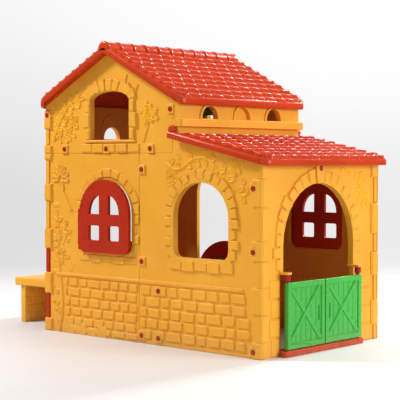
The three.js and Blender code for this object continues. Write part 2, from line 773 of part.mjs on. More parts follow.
// ---------- half-height side door ----------
function sideDoor() {
  const x0 = halfWidth + leafStandoff;
  const x1 = x0 + leafPlate;
  const half = sideDoorHalf + windowLap;
  const rise = halfDoorTop - halfDoorShoulder;
  const radius = (half * half + rise * rise) / (2 * rise);
  const turn = Math.asin(half / radius) / (Math.PI / 2);
  const shape = polygon([
    [sideDoorY - half, halfDoorBottom],
    [sideDoorY + half, halfDoorBottom],
    ...arc(sideDoorY, halfDoorTop - radius, radius, radius, 1 - turn, 1 + turn, archSteps),
  ]);
  const hingeAt = sideDoorY + half + flangeReach / 2;
  const low = doorHingeLow;
  const high = doorHingeHigh;
  const flange = sidePlate(box(sideDoorY + half - flangeLap, low, hingeAt, high), x0, x1);
  const barrel = rod(leafPlate / 2, high - low, "z", hingeX(1), hingeAt, (low + high) / 2);
  const bore = rod(hingePin + clearance, 2 * high, "z", hingeX(1), hingeAt, (low + high) / 2);
  const knobHole = rod(knobRadius / 2 + clearance, 4 * leafPlate, "x", x0, knobY, knobZ);
  return cutBy(joined([sidePlate(shape, x0, x1), flange, barrel]), [bore, knobHole]);
}

function doorKnob() {
  const x0 = halfWidth + leafStandoff;
  const x1 = x0 + leafPlate;
  const spindle = rod(knobRadius / 2, leafPlate + knobLength, "x", (x0 + x1) / 2, knobY, knobZ);
  const away = knobLength / 2 + gap;
  const outside = rod(knobRadius, knobLength, "x", x1 + away, knobY, knobZ);
  const inside = rod(knobRadius, knobLength, "x", x0 - away, knobY, knobZ);
  return joined([spindle, outside, inside]);
}

function gableBlind() {
  const left = gableOpeningY - blindHalf;
  const right = gableOpeningY + blindHalf;
  const shape = polygon([
    ...arc(left + blindCorner, blindLow + blindCorner, blindCorner, blindCorner, 2, 3, cornerSteps),
    ...arc(right - blindCorner, blindLow + blindCorner, blindCorner, blindCorner, -1, 0, cornerSteps),
    [right, blindHigh],
    [left, blindHigh],
  ]);
  return sidePlate(shape, innerX - gap - blindThick, innerX - gap);
}

// ---------- bench ----------
function benchTop() {
  const outline = roundedBox(-benchHalf, houseDepth + gap, benchHalf, houseDepth + benchReach,
    benchCorner);
  return flatPlate(outline, benchTopLow, benchTopHigh);
}

function benchLeg() {
  const outline = roundedBox(-benchLegHalf, benchLegY, benchLegHalf, benchLegY + benchLegThick,
    benchLegCorner);
  return flatPlate(outline, 0, benchTopLow - gap);
}

// ---------- assembly ----------
const house = new THREE.Group();

function place(name, solid, material) {
  const mesh = new THREE.Mesh(solid.isBufferGeometry ? solid : geometryOf(solid), material);
  mesh.name = name;
  house.add(mesh);
  return mesh;
}

const sideName = (side) => (side < 0 ? "left" : "right");

for (const side of [-1, 1]) {
  place(`side_panel_front_${sideName(side)}`, sidePanelFront(side), yellow());
  place(`side_panel_back_${sideName(side)}`, sidePanelBack(side), yellow());
  place(`gable_panel_${sideName(side)}`, gablePanel(side), yellow());
}
place("front_panel", frontPanel(), yellow());
place("back_panel_lower", backPanel(0, redPanelTop - gap, tonguesBetween(0, redPanelTop)), darkRed());
place("back_panel_middle", backPanelMiddle(), yellow());
place("back_panel_upper", backPanelUpper(), yellow());
place("clerestory_panel", clerestory(), yellow());
place("main_roof_front", mainRoofFront(), red());
place("main_roof_back", mainRoofBack(), red());
place("porch_roof", porchRoof(), red());
place("threshold", threshold(), red());
for (const [name, edge] of [["left", -1], ["right", 1]]) {
  const pin = place(`door_pin_${name}`, doorPin(), capRed());
  pin.position.set(archX + edge * pinOffset, pinY, 0);
  place(`door_leaf_${name}`, doorLeaf(-edge), green());
}

const windows = [["window_left", -1, backWindowY], ["window_right", 1, frontWindowY]];
for (const [name, side, centre] of windows) {
  const hingeAt = centre + windowHalf + windowLap + flangeReach / 2;
  place(name, windowLeaf(side, centre), darkRed());
  place(`${name}_hinge_upper`, hingeLug(side, hingeAt, flangeHigh, false), darkRed());
  place(`${name}_hinge_lower`, hingeLug(side, hingeAt, flangeLow, true), darkRed());
}

const sideDoorHinge = sideDoorY + sideDoorHalf + windowLap + flangeReach / 2;
place("side_door", sideDoor(), darkRed());
place("side_door_knob", doorKnob(), green());
place("side_door_hinge_upper", hingeLug(1, sideDoorHinge, doorHingeHigh, false), darkRed());
place("side_door_hinge_lower", hingeLug(1, sideDoorHinge, doorHingeLow, true), darkRed());
place("gable_blind", gableBlind(), green());
place("bench_top", benchTop(), yellow());
place("bench_leg", benchLeg(), yellow());

for (const side of [-1, 1]) {
  sideCaps.forEach(([y, z], index) => {
    const axis = new THREE.Vector3(side, 0, 0);
    const at = new THREE.Vector3(side * halfWidth, y, z);
    house.add(capMesh(`screw_cap_${sideName(side)}_${index + 1}`, axis, at));
  });
}
house.add(capMesh("screw_cap_keystone", new THREE.Vector3(0, -1, 0),
  new THREE.Vector3(archX, -keystoneOut, keystoneZ)));

// The origin is on the floor under the middle of the whole footprint.
const playhouse = new THREE.Group();
playhouse.add(house);
house.position.y = (porchEave - houseDepth - benchReach) / 2;

export default playhouse;
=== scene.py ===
"""Looks for the plastic playhouse: rounded panels, moulded relief, roof tiles, plastics, studio light."""

import json
import math
from contextlib import contextmanager

import bmesh
import bpy
import numpy as np
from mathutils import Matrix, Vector

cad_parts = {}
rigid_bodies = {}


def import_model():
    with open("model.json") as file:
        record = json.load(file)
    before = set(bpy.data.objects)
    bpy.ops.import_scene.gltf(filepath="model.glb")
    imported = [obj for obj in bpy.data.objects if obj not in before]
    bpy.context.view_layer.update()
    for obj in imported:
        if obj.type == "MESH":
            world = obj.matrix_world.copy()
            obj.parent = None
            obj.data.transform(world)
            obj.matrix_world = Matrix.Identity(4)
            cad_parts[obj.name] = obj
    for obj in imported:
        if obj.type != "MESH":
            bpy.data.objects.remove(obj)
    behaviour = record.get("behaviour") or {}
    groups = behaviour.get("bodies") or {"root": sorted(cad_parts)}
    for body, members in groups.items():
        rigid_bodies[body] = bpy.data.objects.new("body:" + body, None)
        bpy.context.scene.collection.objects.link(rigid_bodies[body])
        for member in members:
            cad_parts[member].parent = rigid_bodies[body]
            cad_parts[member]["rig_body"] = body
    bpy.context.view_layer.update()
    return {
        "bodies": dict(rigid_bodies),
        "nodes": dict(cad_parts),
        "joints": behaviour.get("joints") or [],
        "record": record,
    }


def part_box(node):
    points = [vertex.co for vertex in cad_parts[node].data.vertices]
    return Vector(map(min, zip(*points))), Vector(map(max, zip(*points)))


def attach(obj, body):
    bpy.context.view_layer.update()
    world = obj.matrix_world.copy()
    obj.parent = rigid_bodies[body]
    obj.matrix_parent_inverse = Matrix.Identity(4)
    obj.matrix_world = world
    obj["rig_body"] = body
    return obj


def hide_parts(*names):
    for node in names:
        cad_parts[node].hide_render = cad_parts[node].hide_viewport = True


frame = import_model()
NODES = frame["nodes"]

# Lengths below are millimetres in the house frame: door face at Y 0, X in the middle, Z up.
HOUSE_Y = -0.990                      # door face in the row frame, metres
FACE, INNER, FRONT_FACE = 491.0, 463.0, 9.0         # side wall outside and inside, door face
INNER_FRONT, INNER_BACK = 37.0, 1563.0              # inner faces of the door wall and the back wall
HOUSE_DEPTH, SEAM_Y = 1600.0, 844.0                 # back face, and the seam between side panels
RIDGE_Y, RIDGE_Z, SLOPE = 1072.0, 1548.0, 0.52      # under side of the main roof's verges
FRONT_RUN, BACK_RUN = 560.0, 548.0                  # ridge to eave, level
ROOF_HALF, SLAB_DROP, EAVE_CORNER = 540.0, 6.0, 58.0
SLAB = 32.0                                         # roof slab, up to the foot of the tile steps
PORCH_Z, PORCH_SLOPE = 954.0, 0.22                  # under side of the porch verges at the door face
PORCH_EAVE, PORCH_TAIL, PORCH_VERGE_END = -52.0, 547.0, 594.0
HOUSE_TOP = 1611.0
ARCH_X, ARCH_HALF, ARCH_SPRING, ARCH_TOP = -31.0, 298.0, 542.0, 854.0
WINDOW = {"bottom": 471.0, "half": 186.0, "spring": 679.0, "top": 858.0}
FRONT_WINDOW, BACK_WINDOW = 401, 1089               # middles of the windows, along Y
SIDE_DOOR = {"centre": 1102, "half": 198, "spring": 773, "top": 940}
GABLE = {"centre": 1066.0, "bottom": 1080.0, "half": 151.0, "spring": 1295.0, "top": 1342.0}
SINK = 2.0                            # how far a relief runs on below its wall


def middle_mm(name):
    """Middle of a node in house millimetres."""
    lowest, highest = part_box(name)
    x, y, z = (500 * (a + b) for a, b in zip(lowest, highest))
    return x, y - 1000 * HOUSE_Y, z


def metres(points):
    """House millimetres to row metres, for an array of points."""
    out = np.array(points, float) / 1000.0
    out[..., 1] += HOUSE_Y
    return out


# ---------- materials ----------
SKIN_ACROSS, SKIN_ALONG = 2.5, 2.0    # how far into the side and end walls the painted indoor shade reaches
ROOF_ALLOWANCE = 10.0                 # how far it reaches up over the verges' under side
PORCH_ROOM_END = 564.5                # where the porch's ceiling meets the upper front wall
# painted shade: multiplied into the colour of faces inside the house
INDOOR_PAINTED_SHADE = (0.86, 0.60, 0.75, 1)
DUST, DUST_TOP, DUST_SHARE = (0.36, 0.27, 0.17, 1), 110.0, 0.5
BUMP_DEPTH = 0.0011                   # metres


def node(tree, kind, inputs, **values):
    """A shader node. An input is linked if a socket is given, and set if a value is given."""
    made = tree.nodes.new(kind)
    for key, value in values.items():
        setattr(made, key, value)
    for key, value in inputs.items():
        if isinstance(value, bpy.types.NodeSocket):
            tree.links.new(value, made.inputs[key])
        else:
            made.inputs[key].default_value = value
    return made


def coordinates(tree, kind="Object"):
    return node(tree, "ShaderNodeTexCoord", {}).outputs[kind]


def noise(tree, place, scale, detail, rough=0.55):
    return node(tree, "ShaderNodeTexNoise", {"Vector": place, "Scale": scale, "Detail": detail,
                                             "Roughness": rough}).outputs["Fac"]


def ramp(tree, source, low, high, to_low, to_high):
    return node(tree, "ShaderNodeMapRange", {"Value": source, "From Min": low, "From Max": high,
                                             "To Min": to_low, "To Max": to_high}).outputs["Result"]


def mix(tree, factor, a, b, blend="MIX"):
    return node(tree, "ShaderNodeMix", {0: factor, 6: a, 7: b}, data_type="RGBA",
                blend_type=blend).outputs[2]


def maths(tree, operation, a, b):
    return node(tree, "ShaderNodeMath", {0: a, 1: b}, operation=operation).outputs[0]


def product(tree, *values):
    """Multiplies any number of values."""
    out = values[0]
    for value in values[1:]:
        out = maths(tree, "MULTIPLY", out, value)
    return out


def indoor_shade_mask(tree, place):
    """1 on faces that look into the house, where painted shade is laid on, 0 elsewhere. place holds the
    separated coordinates.
    """
    x, y, z = (place.outputs[axis] for axis in "XYZ")
    across = maths(tree, "LESS_THAN", maths(tree, "ABSOLUTE", x, 0.0), (INNER + SKIN_ACROSS) / 1000)
    ahead = maths(tree, "GREATER_THAN", y, HOUSE_Y + (INNER_FRONT - SKIN_ALONG) / 1000)
    behind = maths(tree, "LESS_THAN", y, HOUSE_Y + (INNER_BACK + SKIN_ALONG) / 1000)
    away = maths(tree, "ABSOLUTE", maths(tree, "SUBTRACT", y, HOUSE_Y + RIDGE_Y / 1000), 0.0)
    main_roof = maths(tree, "ADD", product(tree, away, -SLOPE), (RIDGE_Z + ROOF_ALLOWANCE) / 1000)
    depth = maths(tree, "SUBTRACT", y, HOUSE_Y)
    porch_roof = maths(tree, "ADD", product(tree, depth, PORCH_SLOPE), (PORCH_Z + ROOF_ALLOWANCE) / 1000)
    limit = mix(tree, maths(tree, "LESS_THAN", depth, PORCH_ROOM_END / 1000), main_roof, porch_roof)
    return product(tree, across, ahead, behind, maths(tree, "LESS_THAN", z, limit))


def plastic(name, base, light, dark, roughness, grain, shine=0.26):
    """Moulded plastic: uneven colour, fine grain, scuffs that change the gloss, dust near the floor.

    Faces that look into the house are darkened and reddened with painted shade."""
    made = bpy.data.materials.new(name)
    made.use_nodes = True
    tree = made.node_tree
    tree.nodes.clear()
    place = coordinates(tree)
    flow, mottle = noise(tree, place, 2.6, 3.0), noise(tree, place, 38.0, 4.0)
    colour = mix(tree, ramp(tree, flow, 0.35, 0.68, 0.0, 1.0), (*dark, 1), (*light, 1))
    colour = mix(tree, ramp(tree, mottle, 0.3, 0.7, 0.15, 0.75), colour, (*base, 1))
    split = node(tree, "ShaderNodeSeparateXYZ", {"Vector": place})
    low = ramp(tree, split.outputs["Z"], 0.0, DUST_TOP / 1000, DUST_SHARE, 0.0)
    dust = product(tree, low, ramp(tree, noise(tree, place, 17.0, 5.0, 0.7), 0.35, 0.7, 0.1, 0.6))
    colour = mix(tree, dust, colour, DUST)
    # painted shade: the house's inner faces are multiplied by a darker, redder colour
    colour = mix(tree, indoor_shade_mask(tree, split), colour, INDOOR_PAINTED_SHADE, "MULTIPLY")
    worn = ramp(tree, noise(tree, place, 95.0, 6.0, 0.75), 0.62, 0.72, 0.0, 0.16)
    colour = mix(tree, worn, colour, tuple(min(1.0, 1.25 * c + 0.04) for c in base) + (1,))
    gloss = ramp(tree, mottle, 0.3, 0.7, roughness - 0.07, roughness + 0.07)
    gloss = maths(tree, "ADD", gloss, product(tree, worn, 0.9))
    gloss = maths(tree, "ADD", gloss, product(tree, dust, 0.5))
    height = maths(tree, "ADD", product(tree, noise(tree, place, 620.0, 3.0), grain),
                   noise(tree, place, 14.0, 2.0))
    bump = node(tree, "ShaderNodeBump", {"Strength": 0.55, "Distance": BUMP_DEPTH, "Height": height})
    shader = node(tree, "ShaderNodeBsdfPrincipled", {
        "Base Color": colour, "Roughness": gloss, "IOR": 1.5, "Specular IOR Level": shine,
        "Normal": bump.outputs["Normal"]})
    node(tree, "ShaderNodeOutputMaterial", {"Surface": shader.outputs["BSDF"]})
    return made


YELLOW = plastic("wall yellow plastic", (0.84, 0.385, 0.030), (0.89, 0.425, 0.037), (0.78, 0.342, 0.023),
                 0.44, 0.30)
GOLD = plastic("relief golden plastic", (0.88, 0.40, 0.012), (0.93, 0.44, 0.016), (0.82, 0.36, 0.01),
               0.42, 0.30)
RED = plastic("roof red plastic", (0.53, 0.042, 0.007), (0.60, 0.053, 0.009), (0.45, 0.033, 0.006),
              0.22, 0.22, shine=0.17)
DEEP = plastic("deep red plastic", (0.45, 0.024, 0.005), (0.51, 0.030, 0.006), (0.39, 0.019, 0.005),
               0.31, 0.22, shine=0.18)
CAP = plastic("cap red plastic", (0.34, 0.011, 0.012), (0.40, 0.014, 0.015), (0.28, 0.009, 0.010),
              0.34, 0.2, shine=0.2)
GREEN = plastic("door green plastic", (0.052, 0.42, 0.056), (0.066, 0.47, 0.068), (0.042, 0.36, 0.046),
                0.30, 0.22, shine=0.3)


# ---------- meshes ----------
WELD = 2e-5                           # points of a CAD mesh closer than this are one, metres


def add_object(name, mesh, material, body, stands_for=()):
    """Puts a mesh on a body, in place of the CAD nodes that it stands for."""
    made = bpy.data.objects.new(name, mesh)
    bpy.context.scene.collection.objects.link(made)
    mesh.materials.clear()
    mesh.materials.append(material)
    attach(made, body)
    if stands_for:
        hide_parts(*stands_for)
    return made


def smooth(mesh):
    """Smooth shading on all faces."""
    mesh.polygons.foreach_set("use_smooth", np.ones(len(mesh.polygons), bool))
    mesh.update()


def mesh_from(name, points, faces, house=True):
    """A mesh from points in house millimetres, or in row metres if house is False."""
    mesh = bpy.data.meshes.new(name)
    mesh.from_pydata((metres(points) if house else np.array(points)).tolist(), [], faces)
    smooth(mesh)
    return mesh


def rounded(made, width, segments=3):
    """Rounds the sharp edges of an object and keeps its flat faces evenly lit."""
    edge = made.modifiers.new("rounded edges", "BEVEL")
    edge.width = width / 1000.0
    edge.segments = segments
    edge.limit_method = "ANGLE"
    edge.angle_limit = math.radians(36)
    edge.use_clamp_overlap = False
    edge.miter_outer = "MITER_ARC"
    even = made.modifiers.new("flat faces", "WEIGHTED_NORMAL")
    even.weight = 100
    even.thresh = 0.02


@contextmanager
def reshaping(mesh):
    """The points and faces of a mesh, for edits that are written back at the end."""
    shape = bmesh.new()
    shape.from_mesh(mesh)
    yield shape
    shape.to_mesh(mesh)
    shape.free()


def skin(name, material, width):
    """A copy of a CAD node with rounded edges, shown instead of it."""
    source = NODES[name]
    mesh = source.data.copy()
    with reshaping(mesh) as shape:
        bmesh.ops.remove_doubles(shape, verts=shape.verts, dist=WELD)
        bmesh.ops.dissolve_limit(shape, angle_limit=math.radians(1.5), verts=shape.verts,
                                 edges=shape.edges)
        bmesh.ops.triangulate(shape, faces=[f for f in shape.faces if len(f.verts) > 4])
    if "custom_normal" in mesh.attributes:
        mesh.attributes.remove(mesh.attributes["custom_normal"])
    smooth(mesh)
    rounded(add_object(name + "_moulded", mesh, material, source["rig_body"], [name]), width)


def prism(outline, axis, low, high):
    """Points and faces of an outline in the other two axes, pushed from low to high."""
    count = len(outline)
    points = []
    for level in (low, high):
        for u, v in outline:
            points.append({"x": (level, u, v), "y": (u, level, v), "z": (u, v, level)}[axis])
    faces = [tuple(range(count))[::-1], tuple(range(count, 2 * count))]
    faces += [(i, (i + 1) % count, count + (i + 1) % count, count + i) for i in range(count)]
    return points, faces


def lofted(rings, closed=True, capped=True):
    """Points and faces of a row of rings with the same number of points."""
    n = len(rings[0])
    points = [point for ring in rings for point in ring]
    faces = []
    for i in range(len(rings) - 1):
        for k in range(n if closed else n - 1):
            a, b = i * n + k, i * n + (k + 1) % n
            faces.append((a, b, b + n, a + n))
    if capped:
        faces.append(tuple(range(n)))
        faces.append(tuple((len(rings) - 1) * n + k for k in range(n)))
    return points, faces


def merged(parts):
    """Joins the points and faces of several parts."""
    points, faces = [], []
    for part_points, part_faces in parts:
        start = len(points)
        points += [tuple(p) for p in part_points]
        faces += [tuple(start + i for i in f) for f in part_faces]
    return points, faces


def outward(mesh, weld=0.0):
    """Turns the faces of closed shells outward, with points closer than weld joined first."""
    with reshaping(mesh) as shape:
        if weld:
            bmesh.ops.remove_doubles(shape, verts=shape.verts, dist=weld)
        bmesh.ops.recalc_face_normals(shape, faces=shape.faces)
    smooth(mesh)
    return mesh


def brick(x0, y0, z0, x1, y1, z1):
    """A box between two corners."""
    return prism([(x0, y0), (x1, y0), (x1, y1), (x0, y1)], "z", z0, z1)


def bar(axis, a, b, wide, low, high):
    """A straight board between two points of a plane, for a brace."""
    a, b = np.array(a, float), np.array(b, float)
    side = np.array([-(b - a)[1], (b - a)[0]]) / np.linalg.norm(b - a) * wide / 2
    return prism([tuple(a - side), tuple(b - side), tuple(b + side), tuple(a + side)], axis, low, high)


# ---------- relief ----------
LEAF_EDGE, MIDRIB, TENDRIL = 4.5, 2.2, 3.2          # widths in a leaf, and of a tendril


class Relief:
    """Moulded relief on a flat face, as heights over a grid in the plane of the face."""

    def __init__(self, u0, v0, u1, v1, step=2.5, *, seed):
        self.u = np.arange(u0, u1 + step, step)
        self.v = np.arange(v0, v1 + step, step)
        self.h = np.full((len(self.v), len(self.u)), -SINK)
        self.random = np.random.default_rng(seed)

    def add(self, shape, bounds, height, edge, dish=0.0):
        """Raises the grid inside a shape given as a signed distance; dish sinks its middle."""
        u0, v0, u1, v1 = bounds
        iu = slice(*np.searchsorted(self.u, (u0 - 4, u1 + 4)))
        iv = slice(*np.searchsorted(self.v, (v0 - 4, v1 + 4)))
        if iu.start >= iu.stop or iv.start >= iv.stop:
            return
        u, v = np.meshgrid(self.u[iu], self.v[iv])
        d = shape(u, v)
        rise = height * np.sin(np.clip(-d / edge, 0, 1) * np.pi / 2)
        rise *= 1 - dish * np.clip(-d / edge - 1, 0, 1)
        h = np.where(d < 0, rise, -np.clip(d * 0.7, 0, SINK))
        self.h[iv, iu] = np.maximum(self.h[iv, iu], h)

    def carve(self, shape):
        """Clears the grid inside a shape, as for an opening."""
        self.h = np.where(shape(*np.meshgrid(self.u, self.v)) < 0, -SINK, self.h)

    def block(self, u, v, half_u, half_v, corner, height, turn=0.0, edge=4.0, taper=0.0):
        reach = math.hypot(half_u, half_v) + 2
        self.add(lambda a, b: box_distance(a, b, u, v, half_u, half_v, corner, turn, taper),
                 (u - reach, v - reach, u + reach, v + reach), height, edge)

    def stem(self, points, radius, height, thin=0.45):
        """A stem along a smooth line, thinner towards its end."""
        line = curve(points)
        count = len(line) - 1
        for i in range(count):
            r = radius * (1 - (1 - thin) * i / count)
            a, b = line[i], line[i + 1]
            self.add(lambda p, q: line_distance(p, q, a, b) - r,
                     (min(a[0], b[0]) - r, min(a[1], b[1]) - r, max(a[0], b[0]) + r, max(a[1], b[1]) + r),
                     height * (0.65 + 0.35 * (1 - i / count)), r)

    def leaf(self, u, v, length, width, turn, height):
        """A pointed leaf with a raised edge and a midrib."""
        c, s = math.cos(turn), math.sin(turn)
        mid = (u + c * length / 2, v + s * length / 2)

        def blade(a, b):
            along = (a - mid[0]) * c + (b - mid[1]) * s
            over = -(a - mid[0]) * s + (b - mid[1]) * c
            share = np.clip(1 - (2 * along / length) ** 2, 0.0, 1)
            return np.where(np.abs(along) < length / 2, np.abs(over) - width / 2 * share ** 0.6,
                            np.abs(along) - length / 2 + np.abs(over))
        self.add(blade, (mid[0] - length, mid[1] - length, mid[0] + length, mid[1] + length), height,
                 min(LEAF_EDGE, width * 0.3), dish=0.6)
        self.stem([(u, v), (mid[0] + c * length * 0.1, mid[1] + s * length * 0.1)], MIDRIB, height + 0.8)

    def curl(self, u, v, radius, turn, sense, height=3.0):
        """A tendril that rolls up."""
        points = []
        for i in range(11):
            angle = turn + sense * i * 0.5
            r = radius * (1 - 0.07 * i)
            points.append((u + r * math.cos(angle), v + r * math.sin(angle)))
        self.stem(points, TENDRIL, height)

    def build(self, name, mapping, material):
        """Makes the mesh of the raised cells; mapping turns a place and a height into a point."""
        keep = self.h > -0.75 * SINK
        cells = keep[:-1, :-1] | keep[1:, :-1] | keep[:-1, 1:] | keep[1:, 1:]
        used = np.zeros_like(keep)
        used[:-1, :-1] |= cells
        used[1:, :-1] |= cells
        used[:-1, 1:] |= cells
        used[1:, 1:] |= cells
        index = np.full(used.shape, -1)
        index[used] = np.arange(used.sum())
        u, v = np.meshgrid(self.u, self.v)
        points = metres(np.stack(mapping(u[used], v[used], self.h[used]), axis=-1))
        r, c = np.nonzero(cells)
        quads = np.stack([index[r, c], index[r, c + 1], index[r + 1, c + 1], index[r + 1, c]], axis=-1)
        a, b, d = points[quads[0, 0]], points[quads[0, 1]], points[quads[0, 3]]
        out = metres(np.stack(mapping(u[used][:1], v[used][:1], self.h[used][:1] + 100.0), axis=-1))[0]
        if np.dot(np.cross(b - a, d - a), out - points[0]) < 0:
            quads = quads[:, ::-1]
        mesh = bpy.data.meshes.new(name)
        mesh.from_pydata(points.tolist(), [], quads.tolist())
        smooth(mesh)
        add_object(name, mesh, material, "house")


def box_distance(a, b, u, v, half_u, half_v, corner, turn=0.0, taper=0.0):
    """Signed distance to a box with round corners, turned and tapered if asked."""
    c, s = math.cos(turn), math.sin(turn)
    x = (a - u) * c + (b - v) * s
    y = -(a - u) * s + (b - v) * c
    qx = np.abs(x) - (half_u * (1 + taper * y / half_v) - corner)
    qy = np.abs(y) - (half_v - corner)
    return np.hypot(np.maximum(qx, 0), np.maximum(qy, 0)) + np.minimum(np.maximum(qx, qy), 0) - corner


def line_distance(a, b, start, end):
    """Distance to a stretch of straight line."""
    du, dv = end[0] - start[0], end[1] - start[1]
    t = np.clip(((a - start[0]) * du + (b - start[1]) * dv) / (du * du + dv * dv + 1e-9), 0, 1)
    return np.hypot(a - start[0] - t * du, b - start[1] - t * dv)


def curve(points):
    """A smooth line through the points."""
    steps = 5                         # from one point to the next
    p = [np.array(q, float) for q in points]
    p = [2 * p[0] - p[1]] + p + [2 * p[-1] - p[-2]]
    out = []
    for i in range(1, len(p) - 2):
        for k in range(steps):
            t = k / steps
            out.append(0.5 * (2 * p[i] + (p[i + 1] - p[i - 1]) * t
                              + (2 * p[i - 1] - 5 * p[i] + 4 * p[i + 1] - p[i + 2]) * t * t
                              + (3 * p[i] - p[i - 1] - 3 * p[i + 1] + p[i + 2]) * t ** 3))
    return out + [p[-2]]


def arch_distance(a, b, centre, half, spring, top, bottom):
    """Signed distance, nearly, to an opening with straight sides and an elliptic top."""
    rise = top - spring
    over = (np.hypot((a - centre) / half, (b - spring) / rise) - 1) * min(half, rise)
    under = np.maximum(np.abs(a - centre) - half, bottom - b)
    return np.where(b > spring, over, under)


def opening(centre, half, spring, top, bottom):
    """The shape of an opening, to carve."""
    return lambda a, b: arch_distance(a, b, centre, half, spring, top, bottom)


def window(centre, frame, below):
    """The shape of a window with a frame round it, to carve."""
    return opening(centre, WINDOW["half"] + frame, WINDOW["spring"], WINDOW["top"] + frame,
                   WINDOW["bottom"] - below)


def voussoirs(relief, centre, half, spring, top, wide, count, height, inner=4.0):
    """Arch stones in a ring round an elliptic arch."""
    rise = top - spring
    for i in range(count):
        a0, a1 = math.pi * i / count, math.pi * (i + 1) / count
        mid = (a0 + a1) / 2
        lift = height * (0.75 + 0.4 * ((i * 7) % 5) / 4)
        depth = wide * (0.9 + 0.22 * ((i * 3) % 4) / 3)

        def stone(a, b, a0=a0, a1=a1, depth=depth):
            angle = np.arctan2((b - spring) / (rise + depth / 2), (a - centre) / (half + depth / 2))
            scale = np.hypot((a - centre) / half, (b - spring) / rise)
            away = (scale - 1) * (half + rise) / 2
            arc = np.maximum(a0 - angle, angle - a1) * (half + rise + depth) / 2 + 2.2
            return np.maximum(arc, np.maximum(inner - away, away - depth))
        u = centre + (half + wide / 2) * math.cos(mid)
        v = spring + (rise + wide / 2) * math.sin(mid)
        reach = math.pi * (half + rise) / count / 2 + wide
        relief.add(stone, (u - reach, v - reach, u + reach, v + reach), lift, 3.5)


def jambs(relief, centre, half, low, high, rows, wide, height):
    """Stones up both sides of an opening, long and short by turns."""
    pitch = (high - low) / rows
    for i in range(rows):
        for side in (-1, 1):
            w = wide * (1.0 if i % 2 else 0.62)
            u = centre + side * (half + 3 + w / 2)
            relief.block(u, low + (i + 0.5) * pitch, w / 2, pitch / 2 - 2, 4,
                         height * (0.8 + 0.2 * (i % 2)), edge=3.5)


def sill(relief, centre, half, low, high, count, height):
    """A row of stones under an opening, every second one longer."""
    pitch = 2 * half / count
    for i in range(count):
        drop = 6 * (i % 2)
        relief.block(centre - half + (i + 0.5) * pitch, (low + high) / 2 - drop / 2, pitch / 2 - 2,
                     (high - low + drop) / 2, 4, height * (0.8 + 0.25 * (i % 2)), edge=3.5)


def stones(relief, u0, u1, tops, starts, narrow, broad, height=8.0):
    """Rows of rounded stones. starts says how much later each row starts."""
    rng = relief.random
    for row, (low, high) in enumerate(zip(tops[1:], tops[:-1])):
        u = u0 + starts[row]
        while u < u1 - 24:
            width = min(rng.uniform(narrow, broad), u1 - u)
            if u1 - u - width < 30:
                width = u1 - u
            tall = high - low - 9
            relief.block(u + width / 2, (low + high) / 2 + rng.uniform(-1.5, 1.5), width / 2 - 4.5,
                         tall / 2 + rng.uniform(-2, 1), rng.uniform(10, 17),
                         height * rng.uniform(0.85, 1.1), rng.uniform(-0.035, 0.035), 5.0,
                         rng.uniform(-0.07, 0.07))
            u += width


def foliage(relief, line, count, length, width, spread=1.1, height=6.0):
    """Leaves to both sides by turns along a line."""
    path = curve(line)
    rng = relief.random
    for i in range(count):
        k = int((i + 0.6) / count * (len(path) - 2))
        a, b = path[k], path[k + 1]
        turn = math.atan2(b[1] - a[1], b[0] - a[0]) + (spread if i % 2 else -spread)
        turn += rng.uniform(-0.3, 0.3)
        size = rng.uniform(0.8, 1.15)
        relief.leaf(a[0], a[1], length * size, width * size, turn, height)


def on_left(u, v, h):
    return -FACE - h, u, v


def on_right(u, v, h):
    return FACE + h, u, v


def on_front(u, v, h):
    return u, FRONT_FACE - h, v


LABEL = {-1: "left", 1: "right"}
ON_SIDE = {-1: on_left, 1: on_right}
ROW_TOPS, ROW_STARTS = [314, 254, 196, 138, 80, 22], [12, 12, -16, -18, 12]     # stones, front panels

# Relief on a side face is placed by Y and Z, on an end face by X and Z.


def inside_relief():
    """Stones, a framed picture and an arch band on the inner faces of the walls."""
    wall = Relief(40, 4, 844, 330, 3.0, seed=61)
    stones(wall, 88, SEAM_Y - 6, ROW_TOPS, ROW_STARTS, 66, 118, 4.0)
    wall.build("inside_stones_right", lambda u, v, h: (INNER - h, u, v), YELLOW)
    wall.build("inside_stones_left", lambda u, v, h: (-INNER + h, u, v), YELLOW)
    picture = Relief(1340, 430, 1560, 660, 3.0, seed=67)
    picture.add(lambda a, b: np.abs(box_distance(a, b, 1430, 530, 52, 60, 4)) - 7.0,
                (1360, 450, 1500, 610), 5.0, 4)
    picture.block(1430, 518, 20, 26, 8, 3.0)
    picture.block(1418, 552, 14, 10, 6, 3.0, 0.4)
    picture.build("inside_picture", lambda u, v, h: (INNER - h, u, v), YELLOW)
    back = Relief(-130, 1060, 130, 1270, 2.5, seed=71)
    back.add(lambda a, b: np.abs(arch_distance(a, b, 0, 84, 1162, 1238, 1000)) - 6.0,
             (-120, 1062, 120, 1262), 6.0, 4)
    for i in range(5):
        back.block(-56 + 28 * i, 1196, 11.5, 26 if i in (1, 2, 3) else 12, 3, 2.2)
    back.build("inside_arch", lambda u, v, h: (u, INNER_BACK - h, v), YELLOW)


